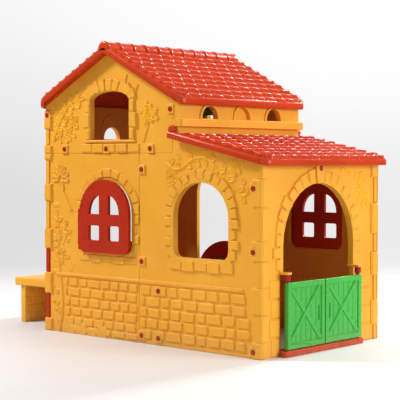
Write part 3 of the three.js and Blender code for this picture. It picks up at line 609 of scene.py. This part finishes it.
# ---------- side walls ----------
def back_side_relief(side):
    """Vine, leaf burst and stones of the back side panel; the right one has a doorway."""
    wall = Relief(SEAM_Y, 0, HOUSE_DEPTH, 1007, seed=11)
    rows, starts = [314, 262, 206, 152, 98, 46, 6], [0, 8, 0, 6, 10, 0]
    if side < 0:
        wide = WINDOW["half"] + 14
        voussoirs(wall, BACK_WINDOW, wide, WINDOW["spring"], WINDOW["top"] + 14, 50, 11, 7.0)
        jambs(wall, BACK_WINDOW, wide, WINDOW["bottom"] - 1, WINDOW["spring"], 4, 46, 6.2)
        sill(wall, BACK_WINDOW, 226, 415, 452, 5, 6.2)
        stones(wall, 850, 1440, rows, starts, 66, 112)
        for u, w, t in ((1400, 60, 52), (1300, 48, 66), (1215, 44, 40), (1130, 46, 58)):
            wall.block(u, t / 2, w, t / 2 + 6, 24, 7, 0.1, 12)      # low plants
        trunk = [(1452, 150), (1466, 300)]
        gap = window(BACK_WINDOW, 9, 10)
    else:
        centre, half, spring, top = SIDE_DOOR.values()
        voussoirs(wall, centre, half + 4, spring, top + 6, 46, 11, 7.0)
        jambs(wall, centre, half + 4, 330, spring, 7, 44, 6.2)
        stones(wall, 1330, 1440, rows, starts, 50, 70)
        trunk = [(1462, 150), (1470, 300)]
        gap = opening(centre, half + 1, spring, top + 1, 40)
    wall.stem([(1478, 6), *trunk, (1490, 430), (1484, 560), (1502, 690)], 10, 8.5, 0.6)
    wall.stem([(1488, 420), (1440, 395), (1400, 352), (1372, 362)], 4.5, 4)
    wall.stem([(1486, 470), (1450, 500), (1420, 560), (1432, 606)], 4.5, 4)
    wall.stem([(1490, 520), (1520, 580), (1512, 640)], 4, 4)
    foliage(wall, [(1468, 350), (1500, 520), (1490, 700)], 13, 50, 30)
    foliage(wall, [(1450, 400), (1420, 540), (1440, 640)], 8, 42, 26, height=5.5)
    foliage(wall, [(1456, 60), (1520, 170), (1520, 300)], 7, 46, 28, height=5.5)
    wall.curl(1376, 384, 18, 3.6, -1)
    wall.curl(1424, 628, 15, 4.4, 1)
    for k in range(7):
        turn = math.radians(-12 + 34 * k)
        wall.leaf(1470 + 8 * math.cos(turn), 872 + 8 * math.sin(turn), 66, 36, turn, 8)
    wall.leaf(1468, 862, 74, 40, math.radians(255), 8.5)
    wall.block(1418, 748, 74, 11, 8, 8.0, math.radians(56), 5)
    for z in (716, 340):
        wall.block(1512, z, 34, 12, 6, 3.5)
    wall.carve(lambda a, b: 1535 - a)     # the corner blocks
    wall.carve(gap)
    wall.build(f"relief_back_{LABEL[side]}", ON_SIDE[side], YELLOW)


def front_side_relief(side):
    """Vine over the arch and rows of stones on the front side panel."""
    wall = Relief(40, 0, SEAM_Y, 1075, seed=23)
    stones(wall, 88, SEAM_Y - 6, ROW_TOPS, ROW_STARTS, 66, 118)
    voussoirs(wall, FRONT_WINDOW, WINDOW["half"], WINDOW["spring"], WINDOW["top"], 64, 13, 11.8, inner=13)
    jambs(wall, FRONT_WINDOW, WINDOW["half"] + 10, WINDOW["bottom"], WINDOW["spring"], 4, 54, 11.0)
    sill(wall, FRONT_WINDOW, 218, 406, 462, 5, 10.6)
    vine = Relief(60, 760, 660, 1062, seed=29)
    line = [(640, 950), (560, 922), (470, 968), (400, 985), (330, 962), (268, 905), (200, 850),
            (130, 800), (92, 806)]
    vine.stem(line, 8.5, 8.0, 0.55)
    foliage(vine, line, 17, 50, 32, 1.0)
    foliage(vine, [(640, 900), (596, 870), (590, 830)], 8, 50, 32)
    vine.stem([(560, 922), (590, 880), (612, 850)], 4, 4)
    vine.stem([(268, 905), (214, 912), (180, 940), (120, 930)], 4, 4)
    foliage(vine, [(240, 915), (180, 938), (110, 925)], 7, 42, 28, height=5.5)
    for u, v, sense in ((500, 1000, 1), (330, 1010, -1), (170, 900, 1), (120, 870, -1), (560, 985, 1)):
        vine.curl(u, v, 19, sense * 1.2, sense, 5.0)
    vine.carve(window(FRONT_WINDOW, 64, WINDOW["bottom"]))
    vine.carve(lambda a, b: porch_verge(a) - 16 - b)
    wall.carve(window(FRONT_WINDOW, 1, 0))
    wall.build(f"relief_front_{LABEL[side]}", ON_SIDE[side], YELLOW)
    vine.build(f"vine_front_{LABEL[side]}", ON_SIDE[side], GOLD)


def gable_relief(side):
    """Stone surround of the gable opening, its base course, a vine and a bush."""
    wall = Relief(606, 1008, HOUSE_DEPTH, 1500, seed=31)
    c, bottom, half, spring, top = GABLE.values()
    for i in range(9):
        turn = math.radians(20 + 17.5 * i)
        u, v = c + 176 * math.cos(turn), 1292 + 84 * math.sin(turn)
        wall.block(u, v, 23, 33, 5, 12.4 + 1.8 * (i % 2), turn - math.pi / 2, 3.0, 0.2)
    for i, (low, high) in enumerate(((1080, 1142), (1144, 1226), (1228, 1290))):
        w = 56 if i % 2 else 38
        for edge in (-1, 1):
            wall.block(c + edge * (half + w / 2 + 2), (low + high) / 2, w / 2,
                       (high - low) / 2 - 2, 4, 14.0 if i % 2 else 12.4, edge=3.5)
    wall.block(c, bottom - 8, half + 50, 7, 4, 12.5)
    for i in range(-2, 3):
        wall.block(c + 92 * i, 1036, 43, 24, 4, 6.5 + 4.2 * (i % 2), edge=3.5)
    for u, v, turn in ((1330, 1330, 1.15), (1270, 1368, 1.3), (1180, 1412, 1.45), (940, 1408, 1.8),
                       (860, 1352, 2.0)):
        wall.block(u, v, 24, 4.6, 4, 6.5, turn, 4)
    wall.carve(opening(c, half + 1, spring, top + 1, bottom - 1))
    vine = Relief(620, 1060, 1560, 1400, seed=37)
    line = [(1520, 1082), (1490, 1150), (1452, 1210), (1400, 1270), (1330, 1306), (1290, 1296)]
    vine.stem(line, 9, 8.0, 0.5)
    vine.stem([(1470, 1180), (1510, 1216), (1534, 1250)], 4, 4)
    vine.stem([(1430, 1240), (1390, 1200), (1350, 1190)], 4, 4)
    foliage(vine, line, 15, 52, 33)
    foliage(vine, [(1500, 1090), (1420, 1110), (1350, 1130)], 8, 48, 30)
    foliage(vine, [(1420, 1230), (1370, 1180), (1330, 1180)], 8, 46, 30)
    vine.curl(1520, 1262, 15, 0.3, 1)
    vine.curl(1400, 1150, 16, 2.0, -1)
    vine.stem([(812, 1068), (790, 1118), (772, 1166), (776, 1230)], 6, 6.5, 0.6)
    for k in range(13):               # the bush's flowers, on a spiral
        out = 0.35 + 0.65 * k / 12
        u, v = 772 + 66 * math.cos(k * 2.4) * out, 1216 + 52 * math.sin(k * 2.4) * out
        for petal in range(5):
            vine.leaf(u, v, 20, 15, k + petal * 2 * math.pi / 5, 6.5)
    wall.build(f"relief_gable_{LABEL[side]}", ON_SIDE[side], YELLOW)
    vine.build(f"vine_gable_{LABEL[side]}", ON_SIDE[side], GOLD)


def corner_stones():
    """Rounded faces on the blocks that lock the panels at the corners, with room round the caps."""
    front = ((0, 82), (214, 348), (475, 574), (739, 879))      # feet and tops of the blocks
    back = ((0, 72), (213, 332), (469, 581), (738, 838), (971, 1007), (1007, 1055), (1145, 1225))
    tall, edge, joint = 13.5, 5.0, 1.5    # height, rounding and the gap at either end of a block
    pad = 23.0                            # half the width of a screw pad, with its gap
    caps = [middle_mm(name)[1:] for name in NODES if name.startswith("screw_cap_left")]
    for side in (-1, 1):
        for place, blocks, u0, u1 in (("front", front, 1, 60), ("back", back, 1540, HOUSE_DEPTH - 1)):
            wall = Relief(u0 - 4, 0, u1 + 4, 1300, 2.5, seed=83)
            for z0, z1 in blocks:
                wall.block((u0 + u1) / 2, (z0 + z1) / 2, (u1 - u0) / 2, (z1 - z0) / 2 - joint, 5, tall,
                           edge=edge)
            for y, z in caps:
                wall.carve(lambda a, b: box_distance(a, b, y, z, pad, pad, 4))
            wall.build(f"corner_{place}_{LABEL[side]}", ON_SIDE[side], YELLOW)
    wall = Relief(-504, 0, 504, 962, 2.5, seed=89)
    for (_, z0), (z1, _) in zip(front, front[1:] + ((958, 0),)):
        for end in (-1, 1):
            wall.block(end * 469.5, (z0 + z1) / 2, 29.5, (z1 - z0) / 2 - joint, 5, tall, edge=edge)
    wall.build("corner_door_face", on_front, YELLOW)


# ---------- door face ----------
def door_face_relief():
    """Arch stones, jamb stones and the vine of the door face."""
    wall = Relief(-440, 0, 440, 960, seed=41)
    voussoirs(wall, ARCH_X, ARCH_HALF, ARCH_SPRING, ARCH_TOP, 66, 17, 12.4, inner=5)
    jambs(wall, ARCH_X, ARCH_HALF + 4, 424, ARCH_SPRING, 2, 70, 11.6)
    for row, z in enumerate((45, 142, 238, 336)):
        for edge in (-1, 1):
            near = ARCH_X + edge * (ARCH_HALF + 20)
            far = edge * (436 if row % 2 else 420)
            wall.block((near + far) / 2, z, abs(far - near) / 2 - 3, 44, 5, 6.0 + 1.5 * (row % 2),
                       edge=3.5)
    vine = Relief(60, 700, 440, 950, seed=43)
    line = [(300, 905), (352, 862), (330, 806), (372, 760), (410, 742)]
    vine.stem(line, 7.5, 7.5, 0.6)
    foliage(vine, line, 13, 46, 30)
    foliage(vine, [(280, 915), (220, 925), (170, 935)], 6, 40, 26, height=5.5)
    vine.curl(398, 846, 15, 0.4, 1)
    stone = 70                            # width of the ring of arch stones, kept free of leaves
    vine.carve(opening(ARCH_X, ARCH_HALF + stone, ARCH_SPRING, ARCH_TOP + stone, 0))
    wall.carve(opening(ARCH_X, ARCH_HALF + 2, ARCH_SPRING, ARCH_TOP + 2, 0))
    wall.carve(lambda a, b: box_distance(a, b, ARCH_X, 900, 40, 90, 2))     # the keystone
    wall.build("relief_front", on_front, YELLOW)
    vine.build("vine_front", on_front, GOLD)


# ---------- roofs ----------
TILE_STEP, PORCH_STEP = 19.0, 18.0    # how far a row of tiles stands over the row below
TILES = 12                            # in a row
GROOVE, SETTLE = 19.0, 1.4            # depth between tiles, and how unevenly they lie
TILE_SKIRT = 26.0                     # how far the sheet's sides reach down
RIM_INSET = 14.0                      # tiles and slab stay this far inside a rounded roof corner
VERGE_HEIGHT, PORCH_RIM = 42.0, 36.0
ROLL_HALF = 46.0                      # half the width of the ridge roll
KNUCKLE_Y, KNUCKLE_LIFT, KNUCKLE_RADIUS, KNUCKLE_LENGTH = 574.0, 48.0, 17.0, 32.0


def tile_sheet(y_low, y_high, rows, surface, step, half):
    """Rows of barrel tiles; each row laps over the one below and is half a tile along from it."""
    rng = np.random.default_rng(rows * 7 + TILES)
    across = (0.0, 0.02, 0.045, 0.08, 0.14, 0.24, 0.37, 0.5, 0.63, 0.76, 0.86, 0.92, 0.955, 0.98)
    along = (0.0, 0.0, 0.025, 0.06, 0.13, 0.3, 0.62, 1.04)
    nose = {1: 7.0, 2: 3.0, 3: 0.8}   # how far the round front of a tile drops, by place along it
    pitch = (y_high - y_low) / rows
    wide = 2 * half / TILES
    parts = []
    for row in range(rows):
        shift = 0.5 * (row % 2)
        xs = [-half + (i + t - shift) * wide for i in range(TILES + 1) for t in across]
        xs = [x for x in xs if abs(x) < half - 0.5]
        xs = np.array([-half - 0.01, -half] + xs + [half, half + 0.01])
        place = np.clip((xs + half) / wide, 0, TILES - 1e-6) + shift
        cell = np.floor(place).astype(int)
        crown = 1 - np.abs(2 * (place - cell) - 1) ** 4
        crown = np.where(np.abs(xs) > half - 0.2 * wide, 1.0, crown)
        jitter = rng.uniform(-1, 1, TILES + 2)[cell]
        lift = rng.uniform(0, 1, TILES + 2)[cell]
        rings = []
        for k, t in enumerate(along):
            y = y_low + (row + t) * pitch + (pitch * 0.02 * jitter if t < 0.5 else 0 * xs)
            z = surface(y) + step * (1 - t) - GROOVE * (1 - crown) - SETTLE * lift - nose.get(k, 0.0)
            if k == 0:
                z = surface(y) - step * 0.55
            z = np.where(np.abs(xs) > half, surface(y) - TILE_SKIRT, z)
            rings.append(list(zip(xs, y, z)))
        parts.append(lofted(rings, closed=False, capped=False))
    return merged(parts)


def rim(y_high, eave, under, height):
    """The board round a roof: up one verge, round the corner, along the eave and up the other verge."""
    sign = 1 if y_high > eave else -1
    steps, thick = 8, 17.0            # steps in a corner, thickness of the board
    path = []
    for side in (-1, 1):
        leg = [(side * ROOF_HALF, y_high, -side, 0)]
        for i in range(steps + 1):
            turn = i / steps * math.pi / 2
            c, s = math.cos(turn), math.sin(turn)
            leg.append((side * (ROOF_HALF - EAVE_CORNER + EAVE_CORNER * c),
                        eave + sign * (EAVE_CORNER - EAVE_CORNER * s), -side * c, sign * s))
        path += leg if side < 0 else leg[::-1]
    profile = [(3.0, 0.0), (0.8, 1.2), (0.0, 4.5), (0.0, height * 0.66), (0.8, height * 0.74),
               (5.0, height - 2.4), (6.8, height - 0.6), (9.5, height), (thick, height), (thick, 0.0)]
    return lofted([[(x + dx * d, y + dy * d, under(y) + rise) for d, rise in profile]
                   for x, y, dx, dy in path])


def tucked(points, eave, sign):
    """Points near a roof corner, moved in behind the rounded rim."""
    limit = EAVE_CORNER - RIM_INSET
    out = []
    for x, y, z in points:
        a = abs(x) - (ROOF_HALF - EAVE_CORNER)
        b = EAVE_CORNER - sign * (y - eave)
        reach = math.hypot(max(a, 0), max(b, 0))
        if a > 0 and b > 0 and reach > limit:
            a, b = (v * limit / reach for v in (a, b))
            x, y = math.copysign(ROOF_HALF - EAVE_CORNER + a, x), eave + sign * (EAVE_CORNER - b)
        out.append((x, y, z))
    return out


def ridge_roll():
    """Ridge tiles end to end, each with a collar over the next, and a round cap at both ends."""
    foot = RIDGE_Z + SLAB_DROP + SLAB + 1.4 - SLOPE * ROLL_HALF
    rise = HOUSE_TOP - foot
    sunk = 3.0                        # how far the roll reaches into the tiles
    count, around = 11, 18
    length = 2 * ROOF_HALF / count
    collar = ((0.0, 0.90), (0.004, 0.965), (0.03, 1.0), (0.17, 1.0), (0.20, 0.965), (0.215, 0.91),
              (0.6, 0.925), (0.999, 0.90))      # share of a tile's length, share of the radius
    middle = [(-ROOF_HALF + (i + t) * length, r) for i in range(count) for t, r in collar]
    ends = [(0.0, 0.55), (0.6, 0.72), (2.5, 0.86), (6.0, 0.96), (10.0, 1.0)]
    stations = ([(-ROOF_HALF + d, r) for d, r in ends]
                + [s for s in middle if abs(s[0]) < ROOF_HALF - 12]
                + [(ROOF_HALF - d, r) for d, r in reversed(ends)])
    turns = [math.pi * k / around for k in range(around + 1)]
    return lofted([[(x, RIDGE_Y + ROLL_HALF * r * math.cos(turn) * 0.999,
                     foot - sunk + (rise + sunk) * r * math.sin(turn)) for turn in turns]
                   for x, r in stations], closed=False)


def slab_prism(y_low, y_high, under, top, half):
    """A roof slab between two surfaces given as functions of Y."""
    return prism([(y_low, under(y_low)), (y_high, under(y_high)), (y_high, top(y_high)),
                  (y_low, top(y_low))], "x", -half, half)


def sharpened(made, angle):
    """Smooth shading that stays crisp across edges sharper than the angle, in degrees."""
    with reshaping(made.data) as shape:
        for edge in shape.edges:
            if len(edge.link_faces) == 2 and edge.calc_face_angle(0) > math.radians(angle):
                edge.smooth = False


def add_roof(name, boards, tiles):
    """The boards and slab of a roof, which stand for its CAD node, and the tiles on it."""
    board = outward(mesh_from(name + "_boards", *merged(boards)))
    sharpened(add_object(name + "_boards", board, RED, "house", [name]), 50)
    sheet = mesh_from(name + "_tiles", *tiles)
    sharpened(add_object(name + "_tiles", sheet, RED, "house"), 55)


def main_verge(y):
    return RIDGE_Z - SLOPE * np.abs(y - RIDGE_Y)


def main_slab(y):
    return RIDGE_Z + SLAB_DROP - SLOPE * np.abs(y - RIDGE_Y)


def porch_verge(y):
    return PORCH_Z + PORCH_SLOPE * y


def porch_slab(y):
    return porch_verge(y) + SLAB_DROP


def main_roof(name, sign, run):
    """One slope of the main roof; the front one carries the ridge tiles."""
    eave, ridge = RIDGE_Y + sign * run, RIDGE_Y + sign * 0.4
    slab, sides = slab_prism(eave - sign * 10, ridge, main_slab, lambda y: main_slab(y) + 17.0,
                             ROOF_HALF - 16.0)
    boards = [rim(ridge, eave, main_verge, VERGE_HEIGHT), (tucked(slab, eave, -sign), sides)]
    if sign < 0:
        boards.append(ridge_roll())
    points, faces = tile_sheet(eave - sign * 4, RIDGE_Y + sign * (ROLL_HALF - 4), 9,
                               lambda y: main_slab(y) + SLAB, TILE_STEP, ROOF_HALF - 15.0)
    if sign > 0:
        faces = [f[::-1] for f in faces]
    add_roof(name, boards, (tucked(points, eave, -sign), faces))


def porch_roof():
    """The porch roof with round ends on its verge boards and a flashing under the wall above."""
    half = ROOF_HALF - 16.0
    slab, sides = slab_prism(PORCH_EAVE + 12, PORCH_TAIL, porch_slab, lambda y: porch_slab(y) + 20.0, half)
    boards = [rim(PORCH_VERGE_END, PORCH_EAVE, porch_verge, PORCH_RIM),
              (tucked(slab, PORCH_EAVE, 1), sides)]
    boards += [knuckle(side) for side in (-1, 1)]
    points, faces = tile_sheet(PORCH_EAVE + 4, 520.0, 8, lambda y: porch_slab(y) + SLAB, PORCH_STEP,
                               ROOF_HALF - 15.0)
    near = PORCH_TAIL - 29.0
    flashing = prism([(near, 1090.0), (PORCH_TAIL, 1096.0), (PORCH_TAIL, porch_slab(PORCH_TAIL) + 24.0),
                      (near, porch_slab(near) + 24.0)], "x", -half, half)
    add_roof("porch_roof", boards, merged([(tucked(points, PORCH_EAVE, 1), faces), flashing]))


def knuckle(side):
    """Round end of a porch verge board."""
    z = porch_verge(KNUCKLE_Y) + KNUCKLE_LIFT
    stations = [(0.0, 1.0), (24.0, 1.0), (28.0, 0.95), (31.0, 0.8), (KNUCKLE_LENGTH, 0.6)]
    turns = [2 * math.pi * k / 24 for k in range(24)]
    return lofted([[(side * (ROOF_HALF - KNUCKLE_LENGTH + d),
                     KNUCKLE_Y + r * KNUCKLE_RADIUS * math.cos(turn),
                     z + r * KNUCKLE_RADIUS * math.sin(turn)) for turn in turns] for d, r in stations])


# ---------- doors ----------
def door_details(name, body, direction):
    """Planks, cross brace, handle and hinge straps, in the frame of a door leaf.

    Only the boards' fronts show; they run back into the leaf."""
    low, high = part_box(name)
    x0, x1, z0, z1 = (v * 1000 for v in (low.x, high.x, low.z, high.z))
    front, back, border, planks = -44.0, -33.0, 28.0, 6       # face and inner end of the boards
    u0, u1, v0, v1 = x0 + border, x1 - border, z0 + border, z1 - border
    middle = (z0 + z1) / 2
    wide = (u1 - u0) / planks
    parts = [brick(u0 + i * wide + 1.5, front + 6.4, v0 - 1, u0 + (i + 1) * wide - 1.5, back, v1 + 1)
             for i in range(planks)]
    parts.append(bar("y", (u0 - 2, v0 + 14), (u1 - 12, v1 + 2), 21, front + 2.6, back))
    parts.append(bar("y", (u0 - 1, v0 + 24), (u1 - 22, v1 + 1), 5.5, front - 1.6, back))
    parts.append(bar("y", (u0 + 4, v1 - 6), (u1 - 4, v0 + 6), 22, front + 1.8, back))
    grip = u1 - 14 if direction > 0 else u0 + 14
    parts.append(brick(grip - 4.5, front + 0.2, middle - 38, grip + 4.5, front + 5.2, middle + 38))
    for z in (middle - 32, middle + 32):
        parts.append(brick(grip - 6.5, front + 1.4, z - 5, grip + 6.5, back, z + 5))
    edge = x0 if direction > 0 else x1
    strap = sorted((edge - direction, edge + direction * 20))
    for z in (z0 + 42, middle + 4, z1 - 38):
        parts.append(brick(strap[0], front - 1.2, z - 6, strap[1], front + 4, z + 6))
    boards = outward(mesh_from(name + "_boards", *merged(parts)))
    rounded(add_object(name + "_boards", boards, GREEN, body), 1.2, 2)


# ---------- small pieces ----------
CAP_LIFT = 0.004                      # a cap's middle under its highest point, metres
CAP_PROFILE = ((0.0, 0.0028), (0.0022, 0.0029), (0.0032, 0.0037), (0.0062, 0.0039), (0.0094, 0.0034),
               (0.0108, 0.0028), (0.0122, 0.0030), (0.0134, 0.0024), (0.0139, 0.0012),
               (0.0139, 0.0004), (0.006, 0.0004), (0.006, -0.016), (0.0, -0.016))


def cap(name):
    """A domed screw cap with a rim and a dimple, on its shank."""
    low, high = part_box(name)
    centre = (low + high) / 2
    if name.endswith("keystone"):
        axis, across = Vector((0, -1, 0)), Vector((1, 0, 0))
        origin = Vector((centre.x, low.y + CAP_LIFT, centre.z))
    else:
        side = 1 if centre.x > 0 else -1
        axis, across = Vector((side, 0, 0)), Vector((0, 1, 0))
        origin = Vector(((high.x if side > 0 else low.x) - side * CAP_LIFT, centre.y, centre.z))
    turns = [2 * math.pi * k / 28 for k in range(28)]
    rings = [[tuple(origin + axis * h + across * r * math.cos(turn) + Vector((0, 0, r * math.sin(turn))))
              for turn in turns] for r, h in CAP_PROFILE]
    mesh = mesh_from(name + "_round", *lofted(rings, capped=False), house=False)
    made = add_object(name + "_round", outward(mesh, weld=1e-6), CAP, "house", [name])
    sharpened(made, 45)


def bench_relief():
    """Bricks on the house side of the bench leg."""
    half, face = 356, 1938.0
    length, pitch = 78, 84
    wall = Relief(-half, 4, half, 214, seed=53)
    for row in range(4):
        u = -half + (0 if row % 2 else -pitch / 2)
        while u < half:
            a, b = max(u + 3, 4 - half), min(u + 3 + length, half - 4)
            if b - a > 20:
                wall.block((a + b) / 2, 36 + row * 46, (b - a) / 2, 19, 6, 3.4, edge=5)
            u += pitch
    wall.build("relief_bench_front", lambda u, v, h: (u, face - h, v), YELLOW)


# ---------- build everything ----------
SLOT_MATERIAL = {"wall_yellow": YELLOW, "roof_red": RED, "deep_red": DEEP, "cap_red": CAP, "green": GREEN}
slot_of = {s["node"]: s["material_slot"] for s in frame["record"]["subparts"]}
ROOFS = ("main_roof_front", "main_roof_back", "porch_roof")
PANEL_EDGE, SMALL_EDGE = 4.2, 1.4     # rounding of edges, where no other is given
EDGES = {"clerestory_panel": 1.6, "front_panel": 2.4, "window_left": 1.45, "window_right": 1.45,
         "side_door": 4.0, "door_leaf_left": 3.0, "door_leaf_right": 3.0, "bench_top": 9.0,
         "bench_leg": 4.0, "threshold": 4.0}

for name in sorted(NODES):
    if name in ROOFS:
        continue
    if name.startswith("screw_cap"):
        cap(name)
        continue
    small = "hinge" in name or "knob" in name or "pin" in name
    width = EDGES.get(name, SMALL_EDGE if small else PANEL_EDGE)
    skin(name, SLOT_MATERIAL[slot_of[name]], width)

main_roof("main_roof_front", -1, FRONT_RUN)
main_roof("main_roof_back", 1, BACK_RUN)
porch_roof()
for side in (-1, 1):
    back_side_relief(side)
    front_side_relief(side)
    gable_relief(side)
corner_stones()
door_face_relief()
inside_relief()
bench_relief()
door_details("door_leaf_left", "door_left", 1)
door_details("door_leaf_right", "door_right", -1)


# ---------- floor, light and camera ----------
FLOOR_REACH, FLOOR_DROP = 40.0, 0.0005              # metres; the floor lies just under the house
FLOOR_DARK, FLOOR_PALE = (0.70, 0.68, 0.67, 1), (0.76, 0.745, 0.735, 1)
FADE_START, FADE_END = 1.7, 5.5                     # where the floor fades into the background
AHEAD, ASIDE = (0.74, 0.673, 0.0), (0.673, -0.74, 0.0)        # along the view, and to its right
CAMERA_AT, CAMERA_LENS = (-5.046, -4.714, 0.972), 109.5
CAMERA_TILT, CAMERA_TURN = 90 - 1.892, -47.78       # degrees
# Each lamp: name, place, what it points at, watts, width in metres, colour.
LAMPS = (("front key", (1.6, -6.2, 2.0), (0, -0.6, 0.6), 200, 2.2, (1.0, 1.0, 0.97)),
         ("left top", (-3.2, 3.2, 5.0), (-0.4, 0, 0.6), 330, 1.1, (1.0, 0.99, 0.97)),
         ("right rim", (4.8, -0.9, 4.4), (0.2, -0.2, 1.1), 320, 0.8, (1, 1, 1)),
         ("left fill", (-5.0, -3.6, 1.6), (-0.3, -0.3, 0.6), 48, 3.0, (1, 1, 1)),
         ("sky", (0.4, -2.2, 5.0), (0, -0.4, 0.9), 60, 3.2, (1, 1, 1)))


def stage():
    """A wide pale floor that fades out."""
    floor = bpy.data.meshes.new("floor")
    reach = FLOOR_REACH
    floor.from_pydata([(-reach, -reach, 0), (reach, -reach, 0), (reach, reach, 0), (-reach, reach, 0)], [],
                      [(0, 1, 2, 3)])
    made = bpy.data.objects.new("floor", floor)
    made.location.z = -FLOOR_DROP
    bpy.context.scene.collection.objects.link(made)
    pale = bpy.data.materials.new("pale floor")
    pale.use_nodes = True
    tree = pale.node_tree
    shader = tree.nodes["Principled BSDF"]
    place = coordinates(tree)
    tree.links.new(mix(tree, noise(tree, place, 1.2, 3.0), FLOOR_DARK, FLOOR_PALE),
                   shader.inputs["Base Color"])
    shader.inputs["Roughness"].default_value = 0.55
    length = node(tree, "ShaderNodeVectorMath", {0: place}, operation="LENGTH")
    tree.links.new(ramp(tree, length.outputs["Value"], FADE_START, FADE_END, 1.0, 0.0),
                   shader.inputs["Alpha"])
    floor.materials.append(pale)


def lamp(name, location, target, power, size, colour):
    light = bpy.data.lights.new(name, "AREA")
    light.energy = power
    light.size = size
    light.color = colour
    made = bpy.data.objects.new(name, light)
    made.location = location
    made.rotation_euler = (Vector(target) - Vector(location)).to_track_quat("-Z", "Y").to_euler()
    bpy.context.scene.collection.objects.link(made)


def world():
    """A studio background, brighter ahead and to the right, with a duller band at mid height."""
    made = bpy.data.worlds.new("studio")
    bpy.context.scene.world = made
    made.use_nodes = True
    tree = made.node_tree
    tree.nodes.clear()
    view = coordinates(tree, "Generated")
    split = node(tree, "ShaderNodeSeparateXYZ", {"Vector": view})
    height = ramp(tree, split.outputs["Z"], -0.2, 0.16, 0.0, 1.0)
    bands = node(tree, "ShaderNodeValToRGB", {"Fac": height})
    bands.color_ramp.interpolation = "B_SPLINE"
    stops = bands.color_ramp.elements
    stops[0].position, stops[0].color = 0.0, (0.96, 0.955, 0.955, 1)
    stops[1].position, stops[1].color = 1.0, (0.96, 0.965, 0.97, 1)
    for place, value in ((0.22, 0.80), (0.42, 0.72), (0.60, 0.80), (0.80, 0.93)):
        stop = stops.new(place)
        stop.color = (value, value * 0.995, value, 1)
    ahead, aside = (node(tree, "ShaderNodeVectorMath", {0: view, 1: way}, operation="DOT_PRODUCT")
                    .outputs["Value"] for way in (AHEAD, ASIDE))
    strength = product(tree, ramp(tree, ahead, 0.45, 0.9, 0.30, 1.0),
                       ramp(tree, aside, -0.15, 0.10, 0.98, 1.12))
    back = node(tree, "ShaderNodeBackground", {"Color": bands.outputs["Color"], "Strength": strength})
    node(tree, "ShaderNodeOutputWorld", {"Surface": back.outputs["Background"]})


def photographer():
    """The camera that sees the house as in the photo."""
    camera = bpy.data.cameras.new("camera")
    camera.lens = CAMERA_LENS
    camera.sensor_width = 36.0
    made = bpy.data.objects.new("camera", camera)
    made.location = CAMERA_AT
    made.rotation_euler = (math.radians(CAMERA_TILT), 0, math.radians(CAMERA_TURN))
    bpy.context.scene.collection.objects.link(made)
    bpy.context.scene.camera = made


stage()
world()
for values in LAMPS:
    lamp(*values)
photographer()
bpy.context.scene.view_settings.view_transform = "Standard"
